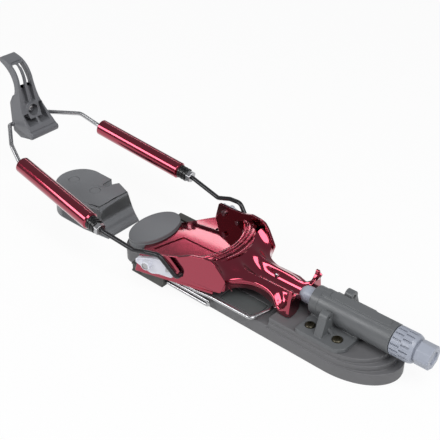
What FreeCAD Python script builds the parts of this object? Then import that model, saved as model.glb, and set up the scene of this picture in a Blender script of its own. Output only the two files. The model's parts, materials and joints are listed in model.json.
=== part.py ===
import FreeCAD, Part
import math
import os
import Sketcher

# A releasable telemark touring binding, in millimetres.
# +X points to the ski tip, +Y to the skier's left, +Z up. z = 0 is the underside of the
# base, where it lies on the ski, y = 0 is the binding's centreline and x = 0 lies a little
# ahead of the boot's toe.

Vector = FreeCAD.Vector
X_AXIS = Vector(1, 0, 0)
Y_AXIS = Vector(0, 1, 0)
Z_AXIS = Vector(0, 0, 1)
SIDES = (("left", 1), ("right", -1))

DIMENSIONS = {
    # clearances
    "running_gap": 0.08,        # a pin or shaft that turns in its bore, on the radius
    "sliding_gap": 0.3,         # parts of different bodies that pass each other
    # base plate
    "base_half_width": 31.7,
    "base_rear_centre": -119.0,
    "base_rear_reach": 18.0,
    "base_nose_centre": 90.0,
    "base_nose_reach": 48.0,
    "base_height": 13.5,
    "deck_height": 20.5,
    "deck_rear": 35.0,
    "low_step_height": 11.0,    # the nose's two steps: where they start, and their inset
    "low_step_nose_inset": 5.8,
    "low_step_side_inset": 1.2,
    "high_step_height": 16.0,
    "high_step_nose_inset": 11.0,
    "high_step_side_inset": 2.4,
    "ski_hole_radius": 2.75,
    "ski_hole_front": -5.0,
    "ski_hole_rear": -55.0,
    "ski_hole_half_spacing": 14.0,
    # oval boot pad on the rear of the base
    "pad_half_length": 17.0,
    "pad_half_width": 28.3,
    "pad_top": 22.5,
    "pad_gap": 0.8,
    # release housing
    "barrel_height": 34.5,
    "barrel_radius": 12.0,
    "barrel_rear": 56.0,
    "barrel_front": 130.0,
    "collar_length": 10.0,
    "foot_rear": 60.0,
    "foot_front": 103.0,
    "foot_half_width": 29.5,
    "foot_thickness": 4.0,
    "saddle_half_width": 8.0,
    "screw_rear": 67.0,
    "screw_front": 92.0,
    "screw_half_spacing": 18.5,
    "screw_radius": 2.5,
    "screw_head_radius": 4.3,
    "screw_head_height": 2.4,
    "lug_rear": 75.5,
    "lug_thickness": 7.0,
    "lug_centre": 17.0,
    "lug_half_width": 4.8,
    "lug_top": 43.0,
    "lug_hole_radius": 1.6,
    # plunger, spring, nut and knob, in line along the barrel
    "pivot_x": 51.0,
    "plunger_radius": 7.0,
    "plunger_guide_length": 26.0,
    "plunger_flange_radius": 8.8,
    "plunger_flange_length": 4.0,
    "chamber_radius": 9.2,
    "spring_wire_radius": 1.4,
    "spring_radius": 7.0,
    "spring_turns": 6.0,
    "nut_rear": 114.5,
    "nut_length": 5.0,
    "spindle_radius": 2.5,
    "end_bush_length": 4.0,
    "knob_length": 18.3,
    "knob_radius": 11.8,
    "knob_groove_depth": 0.8,
    "knob_groove_width": 1.5,
    "knob_groove_count": 16.0,
    "cap_length": 13.0,
    "cap_radius": 9.8,
    # toe plate
    "plate_thickness": 2.5,
    "plate_rear_top": 19.5,
    "plate_front_top": 22.0,
    "plate_front_x": -18.0,
    "ear_rear_x": -85.0,
    "ear_rear_y": 51.5,
    "ear_front_x": -20.0,
    "ear_front_y": 36.0,
    "toe_wall_x": -18.0,
    "toe_wall_radius": 43.0,
    "bail_width": 9.5,
    "bail_underside": 42.4,
    "bail_thickness": 2.7,
    "neck_half_width": 14.0,
    "neck_bottom": 24.0,
    "neck_shoulder": 33.5,
    "neck_ridge": 37.3,
    "neck_ridge_y": 8.6,
    "channel_floor": 28.5,
    "yoke_rear": 33.0,
    "yoke_front": 48.5,
    "yoke_half_width": 22.0,
    "yoke_tip_y": 17.9,
    "yoke_tip_top": 42.5,
    "yoke_bottom": 20.9,
    "rivet_radius": 1.3,
    "rivet_head_radius": 2.1,
    "rivet_head_height": 0.9,
    # brackets on the ears
    "bracket_thickness": 3.2,
    "bracket_boss_radius": 4.2,
    "bracket_boss_height": 4.4,
    "bracket_screw_radius": 1.6,
    "bracket_screw_x": -76.0,
    "bracket_screw_z": 32.0,
    "bracket_rivet_x": -57.5,
    "bracket_rivet_z": 31.2,
    # rods and cartridges
    "cable_pivot_x": -47.0,
    "cable_pivot_z": 29.0,
    "wire_radius": 2.0,
    "rod_bend": 7.0,
    "tube_front_x": -139.1,
    "tube_front_y": 56.0,
    "tube_front_z": 47.2,
    "tube_rear_x": -239.2,
    "tube_rear_y": 48.6,
    "tube_rear_z": 62.1,
    "tube_radius": 7.8,
    "tube_bore": 6.4,
    "tube_rear_wall": 3.0,
    "tube_rear_hole": 3.5,
    "tube_chamfer": 1.3,
    "cap_plug_length": 4.0,
    "end_cap_length": 9.0,
    "end_cap_radius": 6.2,
    "lock_nut_length": 5.0,
    "lock_nut_radius": 5.6,
    "piston_radius": 5.0,
    "piston_length": 8.0,
    "piston_setback": 8.0,
    "coil_wire_radius": 0.7,
    "coil_radius": 5.2,
    "coil_turns": 22.0,
    # heel loop and heel lever
    "loop_bend_x": -261.4,
    "loop_bend_y": 42.4,
    "loop_bend_z": 71.7,
    "loop_end_x": -294.0,
    "loop_end_y": 19.5,
    "loop_end_z": 72.0,
    "loop_corner_bend": 5.0,
    "lever_half_width": 15.6,
    "lever_lip_half_width": 16.5,
    "lever_top_half_width": 8.5,
    "lever_lip_x": -264.0,
    "lever_top_x": -309.5,
    "lever_top_z": 134.5,
    "lever_bolt_z": 86.5,
    "lever_bolt_radius": 2.0,
    "lever_bolt_head_radius": 3.9,
    "clamp_thickness": 5.0,
    "clamp_half_width": 13.0,
    "clamp_top": 98.0,
    # tour lock
    "lock_wire_radius": 1.5,
    "lock_arm_y": 36.3,
    "lock_far_arm_y": 31.0,
    "lock_arm_z": 14.3,
    "lock_wire_seat": 7.0,
    "hairpin_low_z": 5.8,
    "hairpin_high_z": 10.4,
    "hairpin_front_x": -22.0,
    "lock_bar_x": 26.5,
    "lock_bar_z": 18.0,
    "rail_inner_y": 32.3,
    "rail_outer_y": 40.2,
    "rail_front_x": -70.0,
    "right_rail_rear_x": -109.0,
    "left_rail_rear_x": -125.0,
    "rail_block_length": 24.0,
    "rail_block_bottom": 3.8,
    # heel pad, which is screwed to the ski behind the base
    "heel_pad_top": 30.0,
    "heel_pad_rear": -245.0,
    "heel_pad_front": -172.0,
    "heel_pad_foot_front": -160.0,
    "heel_pad_half_width": 25.0,
    "heel_screw_rear": -226.0,
    "heel_screw_front": -196.0,
    "heel_screw_y": -2.0,
}


class Size:
    """A length: its number, and the sheet formula that gives it."""

    def __init__(self, number, formula):
        self.number = float(number)
        self.formula = formula

    def __float__(self):
        return self.number

    def __neg__(self):
        return Size(-self.number, f"(0 - {self.formula})")

    def __add__(self, other):
        other = as_size(other)
        return Size(self.number + other.number, f"({self.formula} + {other.formula})")

    def __radd__(self, other):
        return as_size(other) + self

    def __sub__(self, other):
        other = as_size(other)
        return Size(self.number - other.number, f"({self.formula} - {other.formula})")

    def __rsub__(self, other):
        return as_size(other) - self

    def __mul__(self, other):
        other = as_size(other)
        return Size(self.number * other.number, f"({self.formula} * {other.formula})")

    def __rmul__(self, other):
        return as_size(other) * self

    def __truediv__(self, other):
        other = as_size(other)
        return Size(self.number / other.number, f"({self.formula} / {other.formula})")


def as_size(value):
    """A plain number counts as a size whose formula is itself."""
    if isinstance(value, Size):
        return value
    return Size(value, f"({value:.6f})")


class Sizes:
    """The driving dimensions, read back from the sheet by name."""

    def __init__(self, sheet):
        self.sheet = sheet

    def __getattr__(self, name):
        return Size(self.sheet.get(name), f"{self.sheet.Name}.{name}")


def fill_sheet(doc):
    """Write the driving dimensions into the document's spreadsheet."""
    sheet = doc.addObject("Spreadsheet::Sheet", "sizes")
    for row, (name, number) in enumerate(DIMENSIONS.items(), start=1):
        sheet.set(f"A{row}", name)
        sheet.set(f"B{row}", str(number))
        sheet.setAlias(f"B{row}", name)
    doc.recompute()
    return sheet


doc = FreeCAD.newDocument("touring_binding")
s = Sizes(fill_sheet(doc))
nodes = []


def node(item, label):
    """Mark a document object as a finished sub-part, which gets its own file."""
    item.Label = label
    nodes.append(item)
    return item


def bind(item, **sizes):
    """Bind an object's properties to the sheet; an underscore pair stands for a dot."""
    for name, value in sizes.items():
        item.setExpression(name.replace("__", "."), as_size(value).formula)
    return item


# ---------------------------------------------------------------- Part primitives


def box(x_low, x_high, y_low, y_high, z_low, z_high):
    """A box between two corners."""
    item = doc.addObject("Part::Box", "box")
    bind(item, Length=x_high - x_low, Width=y_high - y_low, Height=z_high - z_low)
    return bind(item, Placement__Base__x=x_low, Placement__Base__y=y_low, Placement__Base__z=z_low)


def cylinder(axis, radius, length, x, y, z):
    """A cylinder that starts at a point and runs along an axis."""
    item = doc.addObject("Part::Cylinder", "cylinder")
    item.Placement = FreeCAD.Placement(Vector(), FreeCAD.Rotation(Z_AXIS, axis))
    bind(item, Radius=radius, Height=length)
    return bind(item, Placement__Base__x=x, Placement__Base__y=y, Placement__Base__z=z)


def fuse(*items):
    """One solid from several that touch or overlap."""
    joined = doc.addObject("Part::MultiFuse", "fusion")
    joined.Shapes = list(items)
    joined.Refine = True
    return joined


def cut(base, *tools):
    """The base with each tool's space taken away."""
    cutter = tools[0] if len(tools) == 1 else fuse(*tools)
    remaining = doc.addObject("Part::Cut", "cut")
    remaining.Base = base
    remaining.Tool = cutter
    return remaining


def group(label, items):
    """Several like pieces that share one node."""
    compound = doc.addObject("Part::Compound", label)
    compound.Links = list(items)
    return node(compound, label)


def shaped(label, shape):
    """A sub-part whose shape is built directly."""
    item = doc.addObject("Part::Feature", label)
    item.Shape = shape
    return item


# ---------------------------------------------------------------- PartDesign bodies


def new_body(label):
    return doc.addObject("PartDesign::Body", label)


def new_sketch(body, role):
    """An empty sketch on one of the body's own origin planes."""
    plane = next(item for item in body.Origin.OriginFeatures if item.Role == role)
    sketch = body.newObject("Sketcher::SketchObject", "sketch")
    sketch.AttachmentSupport = [(plane, "")]
    sketch.MapMode = "FlatFace"
    return sketch


def hold_point(sketch, line, end, across, up):
    """Hold one end of a sketch line at a point that the sheet gives."""
    for kind, value, own_axis in (("DistanceX", across, -2), ("DistanceY", up, -1)):
        size = as_size(value)
        if isinstance(value, Size):
            number = sketch.addConstraint(Sketcher.Constraint(kind, line, end, size.number))
            sketch.setExpression(f"Constraints[{number}]", size.formula)
        elif size.number == 0:
            sketch.addConstraint(Sketcher.Constraint("PointOnObject", line, end, own_axis))
        else:
            sketch.addConstraint(Sketcher.Constraint(kind, line, end, size.number))


def draw_polygon(sketch, points):
    """A closed outline of straight lines through the points."""
    first = sketch.GeometryCount
    count = len(points)
    for number, (across, up) in enumerate(points):
        next_across, next_up = points[(number + 1) % count]
        start = Vector(float(across), float(up), 0)
        end = Vector(float(next_across), float(next_up), 0)
        sketch.addGeometry(Part.LineSegment(start, end), False)
    for number in range(count):
        joint = Sketcher.Constraint("Coincident", first + number, 2, first + (number + 1) % count, 1)
        sketch.addConstraint(joint)
    for number, (across, up) in enumerate(points):
        hold_point(sketch, first + number, 1, across, up)


def draw_circle(sketch, radius, across=0, up=0):
    """A circle at a point of the sketch."""
    centre = Vector(float(across), float(up), 0)
    line = sketch.addGeometry(Part.Circle(centre, Z_AXIS, float(radius)), False)
    hold_point(sketch, line, 3, across, up)
    number = sketch.addConstraint(Sketcher.Constraint("Radius", line, float(radius)))
    sketch.setExpression(f"Constraints[{number}]", as_size(radius).formula)


def pad(body, sketch, length, midplane=False, reverse=False):
    """Extrude a sketch into the body."""
    feature = body.newObject("PartDesign::Pad", "pad")
    feature.Profile = sketch
    feature.Midplane = midplane
    feature.Reversed = reverse
    feature.setExpression("Length", as_size(length).formula)
    body.Tip = feature
    doc.recompute()
    return feature


def pocket(body, sketch, length, midplane=False, reverse=False):
    """Cut a sketch into the body, and make sure that it took material away."""
    before = body.Shape.Volume
    feature = body.newObject("PartDesign::Pocket", "pocket")
    feature.Profile = sketch
    feature.Midplane = midplane
    feature.Reversed = reverse
    feature.setExpression("Length", as_size(length).formula)
    body.Tip = feature
    doc.recompute()
    if body.Shape.Volume > before - 0.01:
        raise RuntimeError(f"{body.Label}: a pocket cut nothing")
    return feature


def ring_of(body, feature, count):
    """Repeat a feature round the axis that its sketch stands on."""
    pattern = body.newObject("PartDesign::PolarPattern", "ring")
    pattern.Originals = [feature]
    pattern.Axis = (feature.Profile[0], ["N_Axis"])
    pattern.Angle = 360
    pattern.setExpression("Occurrences", as_size(count).formula)
    body.Tip = pattern
    doc.recompute()
    return pattern


def turned(label, profile, place):
    """A turned piece: (radius, height) points revolved about the piece's own Z axis."""
    body = new_body(label)
    sketch = new_sketch(body, "XZ_Plane")
    draw_polygon(sketch, profile)
    feature = body.newObject("PartDesign::Revolution", "revolution")
    feature.Profile = sketch
    feature.ReferenceAxis = (sketch, ["V_Axis"])
    feature.Angle = 360
    body.Tip = feature
    body.Placement = place
    doc.recompute()
    return body


def along(direction, x, y, z):
    """A place whose Z axis points in a direction."""
    rotation = FreeCAD.Rotation(Z_AXIS, direction)
    return FreeCAD.Placement(Vector(float(x), float(y), float(z)), rotation)


# ---------------------------------------------------------------- shapes built directly


def prism(points, direction):
    """A flat polygon swept straight along a vector."""
    outline = Part.makePolygon(points + [points[0]])
    return Part.Face(outline).extrude(direction)


def smooth_edge(points):
    """A smooth curve through the points."""
    curve = Part.BSplineCurve()
    curve.interpolate(points)
    return curve.toShape()


def elliptic_slab(centre_x, reach, half_width, z_low, z_high):
    """An upright elliptic disc."""
    if reach > half_width:
        curve = Part.Ellipse(Vector(centre_x, 0, z_low), reach, half_width)
    else:
        curve = Part.Ellipse(
            Vector(centre_x, half_width, z_low),
            Vector(centre_x + reach, 0, z_low),
            Vector(centre_x, 0, z_low),
        )
    return Part.Face(Part.Wire(curve.toShape())).extrude(Vector(0, 0, z_high - z_low))


def block(x_low, x_high, y_low, y_high, z_low, z_high):
    """A plain box shape between two corners."""
    size = (float(x_high) - float(x_low), float(y_high) - float(y_low), float(z_high) - float(z_low))
    return Part.makeBox(*size, Vector(float(x_low), float(y_low), float(z_low)))


def drum(axis, radius, length, start):
    """A plain cylinder shape."""
    return Part.makeCylinder(float(radius), float(length), start, axis)


def both_sides(shape):
    """The shape and its mirror image across the centreline."""
    return [shape, shape.mirror(Vector(), Y_AXIS)]


def bent_wire(points, bends, radius):
    """A round wire along straight runs that tangent arcs join."""
    edges = []
    start = points[0]
    for number in range(1, len(points) - 1):
        corner = points[number]
        back = (points[number - 1] - corner).normalize()
        ahead = (points[number + 1] - corner).normalize()
        half_turn = (math.pi - back.getAngle(ahead)) / 2
        reach = bends[number - 1] * math.tan(half_turn)
        arc_start = corner + back * reach
        arc_end = corner + ahead * reach
        middle = (back + ahead).normalize()
        depth = bends[number - 1] / math.cos(half_turn) - bends[number - 1]
        edges.append(Part.makeLine(start, arc_start))
        edges.append(Part.Arc(arc_start, corner + middle * depth, arc_end).toShape())
        start = arc_end
    edges.append(Part.makeLine(start, points[-1]))
    direction = points[1] - points[0]
    section = Part.Wire(Part.makeCircle(float(radius), points[0], direction))
    return Part.Wire(edges).makePipeShell([section], True, False)


def coil_spring(radius, wire_radius, height, turns, place):
    """A round-wire compression spring that stands on its own Z axis."""
    helix = Part.makeHelix(height / turns, height, radius)
    section = Part.Wire(Part.makeCircle(wire_radius, Vector(radius, 0, 0), Y_AXIS))
    spring = Part.Wire(helix).makePipeShell([section], True, True)
    spring.Placement = place
    return spring


# ---------------------------------------------------------------- base


def base_layer(side_inset, nose_inset, z_low, z_high):
    """The base's plan as a slab, drawn in by one inset at the sides and one at the nose."""
    half_width = float(s.base_half_width) - side_inset
    rear = float(s.base_rear_centre)
    front = float(s.base_nose_centre)
    middle = block(rear, front, -half_width, half_width, z_low, z_high)
    nose = elliptic_slab(front, float(s.base_nose_reach) - nose_inset, half_width, z_low, z_high)
    tail = elliptic_slab(rear, float(s.base_rear_reach) - side_inset, half_width, z_low, z_high)
    return middle.fuse([nose, tail]).removeSplitter()


def base_plate():
    """The base: a low deck under the toe plate and a stepped nose under the housing."""
    height = float(s.base_height)
    deck = float(s.deck_height)
    low_step = float(s.low_step_height)
    high_step = float(s.high_step_height)
    split = float(s.deck_rear)
    rear_half = block(-200, split, -50, 50, 0, 50)
    front_half = block(split, 200, -50, 50, 0, 50)
    layers = (
        (float(s.low_step_side_inset), float(s.low_step_nose_inset), low_step, high_step),
        (float(s.high_step_side_inset), float(s.high_step_nose_inset), high_step, deck),
    )
    shape = base_layer(0, 0, 0, low_step)
    shape = shape.fuse(base_layer(0, 0, low_step, height).common(rear_half))
    for side_inset, nose_inset, z_low, z_high in layers:
        shape = shape.fuse(base_layer(side_inset, nose_inset, z_low, z_high).common(front_half))
    holes = []
    for x in (s.ski_hole_front, s.ski_hole_rear):
        for side in (-1, 1):
            start = Vector(float(x), side * float(s.ski_hole_half_spacing), 0)
            holes.append(drum(Z_AXIS, s.ski_hole_radius, height, start))
    for x in (s.screw_rear, s.screw_front):
        for side in (-1, 1):
            start = Vector(float(x), side * float(s.screw_half_spacing), 0)
            holes.append(drum(Z_AXIS, s.screw_radius, deck, start))
    return node(shaped("base_plate", shape.cut(holes).removeSplitter()), "base_plate")


def rear_pad():
    """The smooth oval pad that the ball of the boot rests behind."""
    centre = float(s.base_rear_centre)
    length = float(s.pad_half_length)
    width = float(s.pad_half_width)
    shape = elliptic_slab(centre, length, width, float(s.base_height), float(s.pad_top))
    rim = [edge for edge in shape.Edges if edge.BoundBox.ZMin > float(s.pad_top) - 0.1]
    return node(shaped("rear_pad", shape.makeFillet(0.8, rim)), "rear_pad")


def release_housing():
    """The barrel that holds the release spring, on a foot with two upright lugs."""
    axis_z = s.barrel_height
    radius = s.barrel_radius
    deck = s.deck_height
    foot_top = deck + s.foot_thickness
    barrel_start = s.barrel_rear + s.collar_length
    barrel_length = s.barrel_front - barrel_start
    saddle = s.saddle_half_width
    panel_half = 5.5
    panel_top = axis_z + radius + 0.4
    solids = [
        cylinder(X_AXIS, radius - 0.4, s.collar_length, s.barrel_rear, 0, axis_z),
        cylinder(X_AXIS, radius, barrel_length, barrel_start, 0, axis_z),
        box(barrel_start + 4, s.barrel_front - 2, -panel_half, panel_half, axis_z, panel_top),
        box(s.foot_rear, s.foot_front, -s.foot_half_width, s.foot_half_width, deck, foot_top),
        box(s.foot_rear, s.foot_front, -saddle, saddle, deck, axis_z),
    ]
    holes = []
    half = s.lug_half_width
    rear = s.lug_rear
    front = s.lug_rear + s.lug_thickness
    crown = s.lug_top - half
    for side in (-1, 1):
        centre = side * s.lug_centre
        low_y, high_y = sorted((side * (radius - 4), centre), key=float)
        solids.append(box(rear, front, centre - half, centre + half, deck, crown))
        solids.append(cylinder(X_AXIS, half, s.lug_thickness, rear, centre, crown))
        solids.append(box(rear, front, low_y, high_y, deck, axis_z))
        holes.append(cylinder(X_AXIS, s.lug_hole_radius, s.lug_thickness, rear, centre, crown))
        for x in (s.screw_rear, s.screw_front):
            y = side * s.screw_half_spacing
            seat = foot_top - s.screw_head_height / 2
            holes.append(cylinder(Z_AXIS, s.screw_radius, s.foot_thickness, x, y, deck))
            holes.append(cylinder(Z_AXIS, s.screw_head_radius, radius * 2, x, y, seat))
    guide_bore = s.plunger_radius + s.running_gap
    chamber_start = s.pivot_x + s.plunger_guide_length
    chamber_length = s.barrel_front - chamber_start
    holes.append(cylinder(X_AXIS, guide_bore, barrel_length / 2, s.barrel_rear, 0, axis_z))
    holes.append(cylinder(X_AXIS, s.chamber_radius, chamber_length, chamber_start, 0, axis_z))
    return node(cut(fuse(*solids), *holes), "release_housing")


def housing_screws():
    """Four pan-head screws that hold the housing and the base to the ski."""
    screws = []
    seat = s.deck_height + s.foot_thickness - s.screw_head_height / 2
    for x in (s.screw_rear, s.screw_front):
        for side in (-1, 1):
            y = side * s.screw_half_spacing
            head = cylinder(Z_AXIS, s.screw_head_radius, s.screw_head_height, x, y, seat)
            shank = cylinder(Z_AXIS, s.screw_radius, seat - 0.5, x, y, 0.5)
            screws.append(fuse(head, shank))
    return group("housing_screws", screws)


def end_bush():
    """The ring that closes the barrel's front and carries the spindle."""
    bore = s.spindle_radius + s.running_gap
    outer = s.chamber_radius
    length = s.end_bush_length
    profile = [(bore, 0), (outer, 0), (outer, length), (bore, length)]
    place = along(X_AXIS, s.barrel_front - s.end_bush_length, 0, s.barrel_height)
    return node(turned("end_bush", profile, place), "end_bush")


# ---------------------------------------------------------------- release mechanism


def plunger():
    """The ball-nosed plunger, hollow behind so that the spindle can run into it."""
    nose_x = s.pivot_x
    axis_z = s.barrel_height
    radius = s.plunger_radius
    guide = s.plunger_guide_length
    flange_length = s.plunger_flange_length
    ball = doc.addObject("Part::Sphere", "ball")
    bind(ball, Radius=radius, Placement__Base__x=nose_x, Placement__Base__z=axis_z)
    stem = cylinder(X_AXIS, radius, guide, nose_x, 0, axis_z)
    neck = cylinder(X_AXIS, radius, flange_length, nose_x + guide - 1, 0, axis_z)
    flange_x = nose_x + guide + s.sliding_gap
    flange = cylinder(X_AXIS, s.plunger_flange_radius, flange_length, flange_x, 0, axis_z)
    wall = 8
    bore = cylinder(X_AXIS, s.spindle_radius + s.sliding_gap, guide + 14, nose_x + wall, 0, axis_z)
    return node(cut(fuse(ball, stem, neck, flange), bore), "plunger")


def spring_seat_x():
    """Where the release spring rests on the plunger's flange."""
    return s.pivot_x + s.plunger_guide_length + s.sliding_gap + s.plunger_flange_length


def release_spring():
    """The coil spring between the plunger's flange and the preload nut."""
    wire = float(s.spring_wire_radius)
    start = float(spring_seat_x()) + wire + 0.2
    height = float(s.nut_rear) - wire - 0.2 - start
    place = along(X_AXIS, start, 0, s.barrel_height)
    shape = coil_spring(float(s.spring_radius), wire, height, float(s.spring_turns), place)
    return node(shaped("release_spring", shape), "release_spring")


def preload_nut():
    """The nut that the spindle drives along the barrel to set the release force."""
    body = new_body("preload_nut")
    sketch = new_sketch(body, "YZ_Plane")
    draw_circle(sketch, s.chamber_radius - s.sliding_gap)
    draw_circle(sketch, s.spindle_radius + s.running_gap)
    pad(body, sketch, s.nut_length)
    bind(body, Placement__Base__x=s.nut_rear, Placement__Base__z=s.barrel_height)
    return node(body, "preload_nut")


def knob_start():
    return s.barrel_front + s.sliding_gap


def adjuster_spindle():
    """The screw that the knob turns; its collar bears on the back of the end bush."""
    front = knob_start() + s.knob_length + s.cap_length / 2
    rear = s.nut_rear - 6
    collar_front = s.barrel_front - s.end_bush_length - s.running_gap
    length = front - rear
    profile = [
        (0, 0),
        (s.spindle_radius, 0),
        (s.spindle_radius, collar_front - 1.5 - rear),
        (s.spindle_radius + 1.5, collar_front - 1.5 - rear),
        (s.spindle_radius + 1.5, collar_front - rear),
        (s.spindle_radius, collar_front - rear),
        (s.spindle_radius, length),
        (0, length),
    ]
    body = turned("adjuster_spindle", profile, along(X_AXIS, rear, 0, s.barrel_height))
    return node(body, "adjuster_spindle")


def adjuster_knob():
    """The grip ring, with two staggered rows of short grooves."""
    body = new_body("adjuster_knob")
    outline = new_sketch(body, "YZ_Plane")
    draw_circle(outline, s.knob_radius)
    draw_circle(outline, s.spindle_radius)
    pad(body, outline, s.knob_length)
    half = s.knob_groove_width / 2
    inner = s.knob_radius - s.knob_groove_depth
    outer = s.knob_radius + 1
    row_length = s.knob_length * 0.34
    half_pitch = 180 / s.knob_groove_count.number
    for row, start in enumerate((s.knob_length * 0.1, s.knob_length * 0.54)):
        sketch = new_sketch(body, "YZ_Plane")
        turn = FreeCAD.Rotation(Z_AXIS, row * half_pitch)
        sketch.AttachmentOffset = FreeCAD.Placement(Vector(0, 0, float(start)), turn)
        sketch.setExpression("AttachmentOffset.Base.z", start.formula)
        draw_polygon(sketch, [(-half, inner), (half, inner), (half, outer), (-half, outer)])
        groove = pocket(body, sketch, row_length, reverse=True)
        ring_of(body, groove, s.knob_groove_count)
    bind(body, Placement__Base__x=knob_start(), Placement__Base__z=s.barrel_height)
    return node(body, "adjuster_knob")


def adjuster_cap():
    """The eight-sided end that takes a wrench."""
    prism_item = doc.addObject("Part::Prism", "prism")
    prism_item.Polygon = 8
    prism_item.Placement = FreeCAD.Placement(Vector(), FreeCAD.Rotation(Z_AXIS, X_AXIS))
    bind(prism_item, Circumradius=s.cap_radius, Height=s.cap_length)
    start = knob_start() + s.knob_length
    bind(prism_item, Placement__Base__x=start, Placement__Base__z=s.barrel_height)
    hole = cylinder(X_AXIS, s.spindle_radius, s.cap_length / 2, start, 0, s.barrel_height)
    return node(cut(prism_item, hole), "adjuster_cap")


# ---------------------------------------------------------------- toe plate


def plate_height(x):
    """The top of the toe plate's sloping floor at a distance along the ski."""
    rear_x = -100.0
    front_x = float(s.plate_front_x)
    share = (x - rear_x) / (front_x - rear_x)
    return float(s.plate_rear_top) + share * (float(s.plate_front_top) - float(s.plate_rear_top))


def ear_y(x):
    """The outer face of an ear at a distance along the ski."""
    run = float(s.ear_front_x) - float(s.ear_rear_x)
    rise = float(s.ear_front_y) - float(s.ear_rear_y)
    return float(s.ear_rear_y) + (x - float(s.ear_rear_x)) * rise / run


def ear_frame():
    """The unit vectors along an ear, forwards, and out from its outer face."""
    run = Vector(float(s.ear_front_x - s.ear_rear_x), float(s.ear_front_y - s.ear_rear_y), 0)
    forward = run.normalize()
    outward = Vector(-forward.y, forward.x, 0)
    return forward, outward


def on_ear(x, z):
    """A point of the left ear's outer face."""
    return Vector(x, ear_y(x), z)


def floor_plate():
    """The sloping floor, cut back round the oval pad."""
    outline = [(-18, 36), (-84, 51), (-91, 49.5), (-99, 37.4), (-103.5, 30.3), (-108, 24)]
    points = [Vector(x, y, plate_height(x)) for x, y in outline]
    mirrored = [Vector(point.x, -point.y, point.z) for point in reversed(points)]
    thickness = float(s.plate_thickness)
    plate = prism(points + mirrored, Vector(0, 0, -thickness))
    gap = float(s.pad_gap)
    reach = float(s.pad_half_length) + gap
    width = float(s.pad_half_width) + gap
    pad_space = elliptic_slab(float(s.base_rear_centre), reach, width, 10, 30)
    emboss = block(-88, -52, -9, 9, plate_height(-60) - 0.4, 30)
    return plate.cut([pad_space, emboss])


def ear():
    """The left ear, an upright wall whose top rises towards the toe."""
    edge = [
        (-91, plate_height(-91) - float(s.plate_thickness)),
        (-11, 23.3),
        (-6.5, 35.8),
        (-9.7, 39.7),
        (-15.7, 48.2),
        (-20.3, 52.2),
        (-26, 52.5),
        (-38, 51),
        (-49, 46),
        (-64, 42),
        (-85, 37.5),
    ]
    outward = ear_frame()[1]
    return prism([on_ear(x, z) for x, z in edge], outward * -float(s.plate_thickness))


def toe_hood():
    """The curved front wall with the ribbed toe bail along its top."""
    top = float(s.bail_underside) + float(s.bail_thickness)
    bottom = float(s.plate_front_top) - float(s.plate_thickness)
    plan = [(-44, ear_y(-44)), (-20, ear_y(-20)), (-7.5, 34.5), (-9, 28), (-5, 21.5), (3, 15.5), (8, 14)]
    plan += [(x, -y) for x, y in reversed(plan)]
    body = prism([Vector(x, y, bottom) for x, y in plan], Vector(0, 0, top - bottom))
    radius = float(s.toe_wall_radius)
    wall_centre = float(s.toe_wall_x) - radius
    lip_centre = wall_centre - float(s.bail_width)
    underside = float(s.bail_underside)
    toe_space = drum(Z_AXIS, radius, underside - bottom, Vector(wall_centre, 0, bottom))
    opening = drum(Z_AXIS, radius, 20, Vector(lip_centre, 0, underside - 1))
    slope = [(-19, top), (-4, 38.8), (8, 37.3), (20, 37.3), (20, 60), (-19, 60)]
    wedge = prism([Vector(x, -60, z) for x, z in slope], Vector(0, 120, 0))
    relief = block(float(s.plate_front_x) + 2, 20, -60, 60, 0, float(s.neck_bottom) - 0.5)
    shape = body.cut([toe_space, opening, wedge, relief])
    for share in (0.38, 0.7):
        rib_centre = lip_centre + share * float(s.bail_width)
        outer = drum(Z_AXIS, radius, 1, Vector(rib_centre, 0, top - 0.5))
        groove = outer.cut(drum(Z_AXIS, radius, 1, Vector(rib_centre - 0.9, 0, top - 0.5)))
        shape = shape.cut(groove)
    return shape


def neck_and_yoke():
    """The channelled neck, and the yoke whose socket takes the plunger's ball."""
    half = float(s.neck_half_width)
    ridge = float(s.neck_ridge_y)
    section = [
        (half, float(s.neck_bottom)),
        (half, float(s.neck_shoulder)),
        (ridge + 1, float(s.neck_ridge)),
        (ridge - 1.2, float(s.neck_ridge)),
        (ridge - 3.2, float(s.channel_floor)),
    ]
    section += [(-y, z) for y, z in reversed(section)]
    rear = -4.0
    front = float(s.yoke_front) - 6
    neck = prism([Vector(rear, y, z) for y, z in section], Vector(front - rear, 0, 0))
    tip = float(s.yoke_tip_y)
    wing = [
        (9, float(s.neck_bottom)),
        (14, float(s.yoke_bottom)),
        (float(s.yoke_half_width) - 2, float(s.yoke_bottom)),
        (float(s.yoke_half_width), float(s.yoke_bottom) + 4),
        (tip + 1.5, float(s.yoke_tip_top) - 2),
        (tip - 1.5, float(s.yoke_tip_top)),
        (ridge + 3, float(s.neck_ridge) + 1),
        (ridge - 1.2, float(s.neck_ridge)),
        (ridge - 3.2, float(s.channel_floor)),
    ]
    wing += [(-y, z) for y, z in reversed(wing)]
    yoke_rear = float(s.yoke_rear)
    yoke_length = Vector(float(s.yoke_front) - yoke_rear, 0, 0)
    yoke = prism([Vector(yoke_rear, y, z) for y, z in wing], yoke_length)
    lip_side = [(46, 40), (49.6, 46.6), (47.8, 46.8), (43, 40)]
    lip = prism([Vector(x, tip - 2.5, z) for x, z in lip_side], Vector(0, 4, 0))
    return neck.fuse([yoke] + both_sides(lip))


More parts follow.
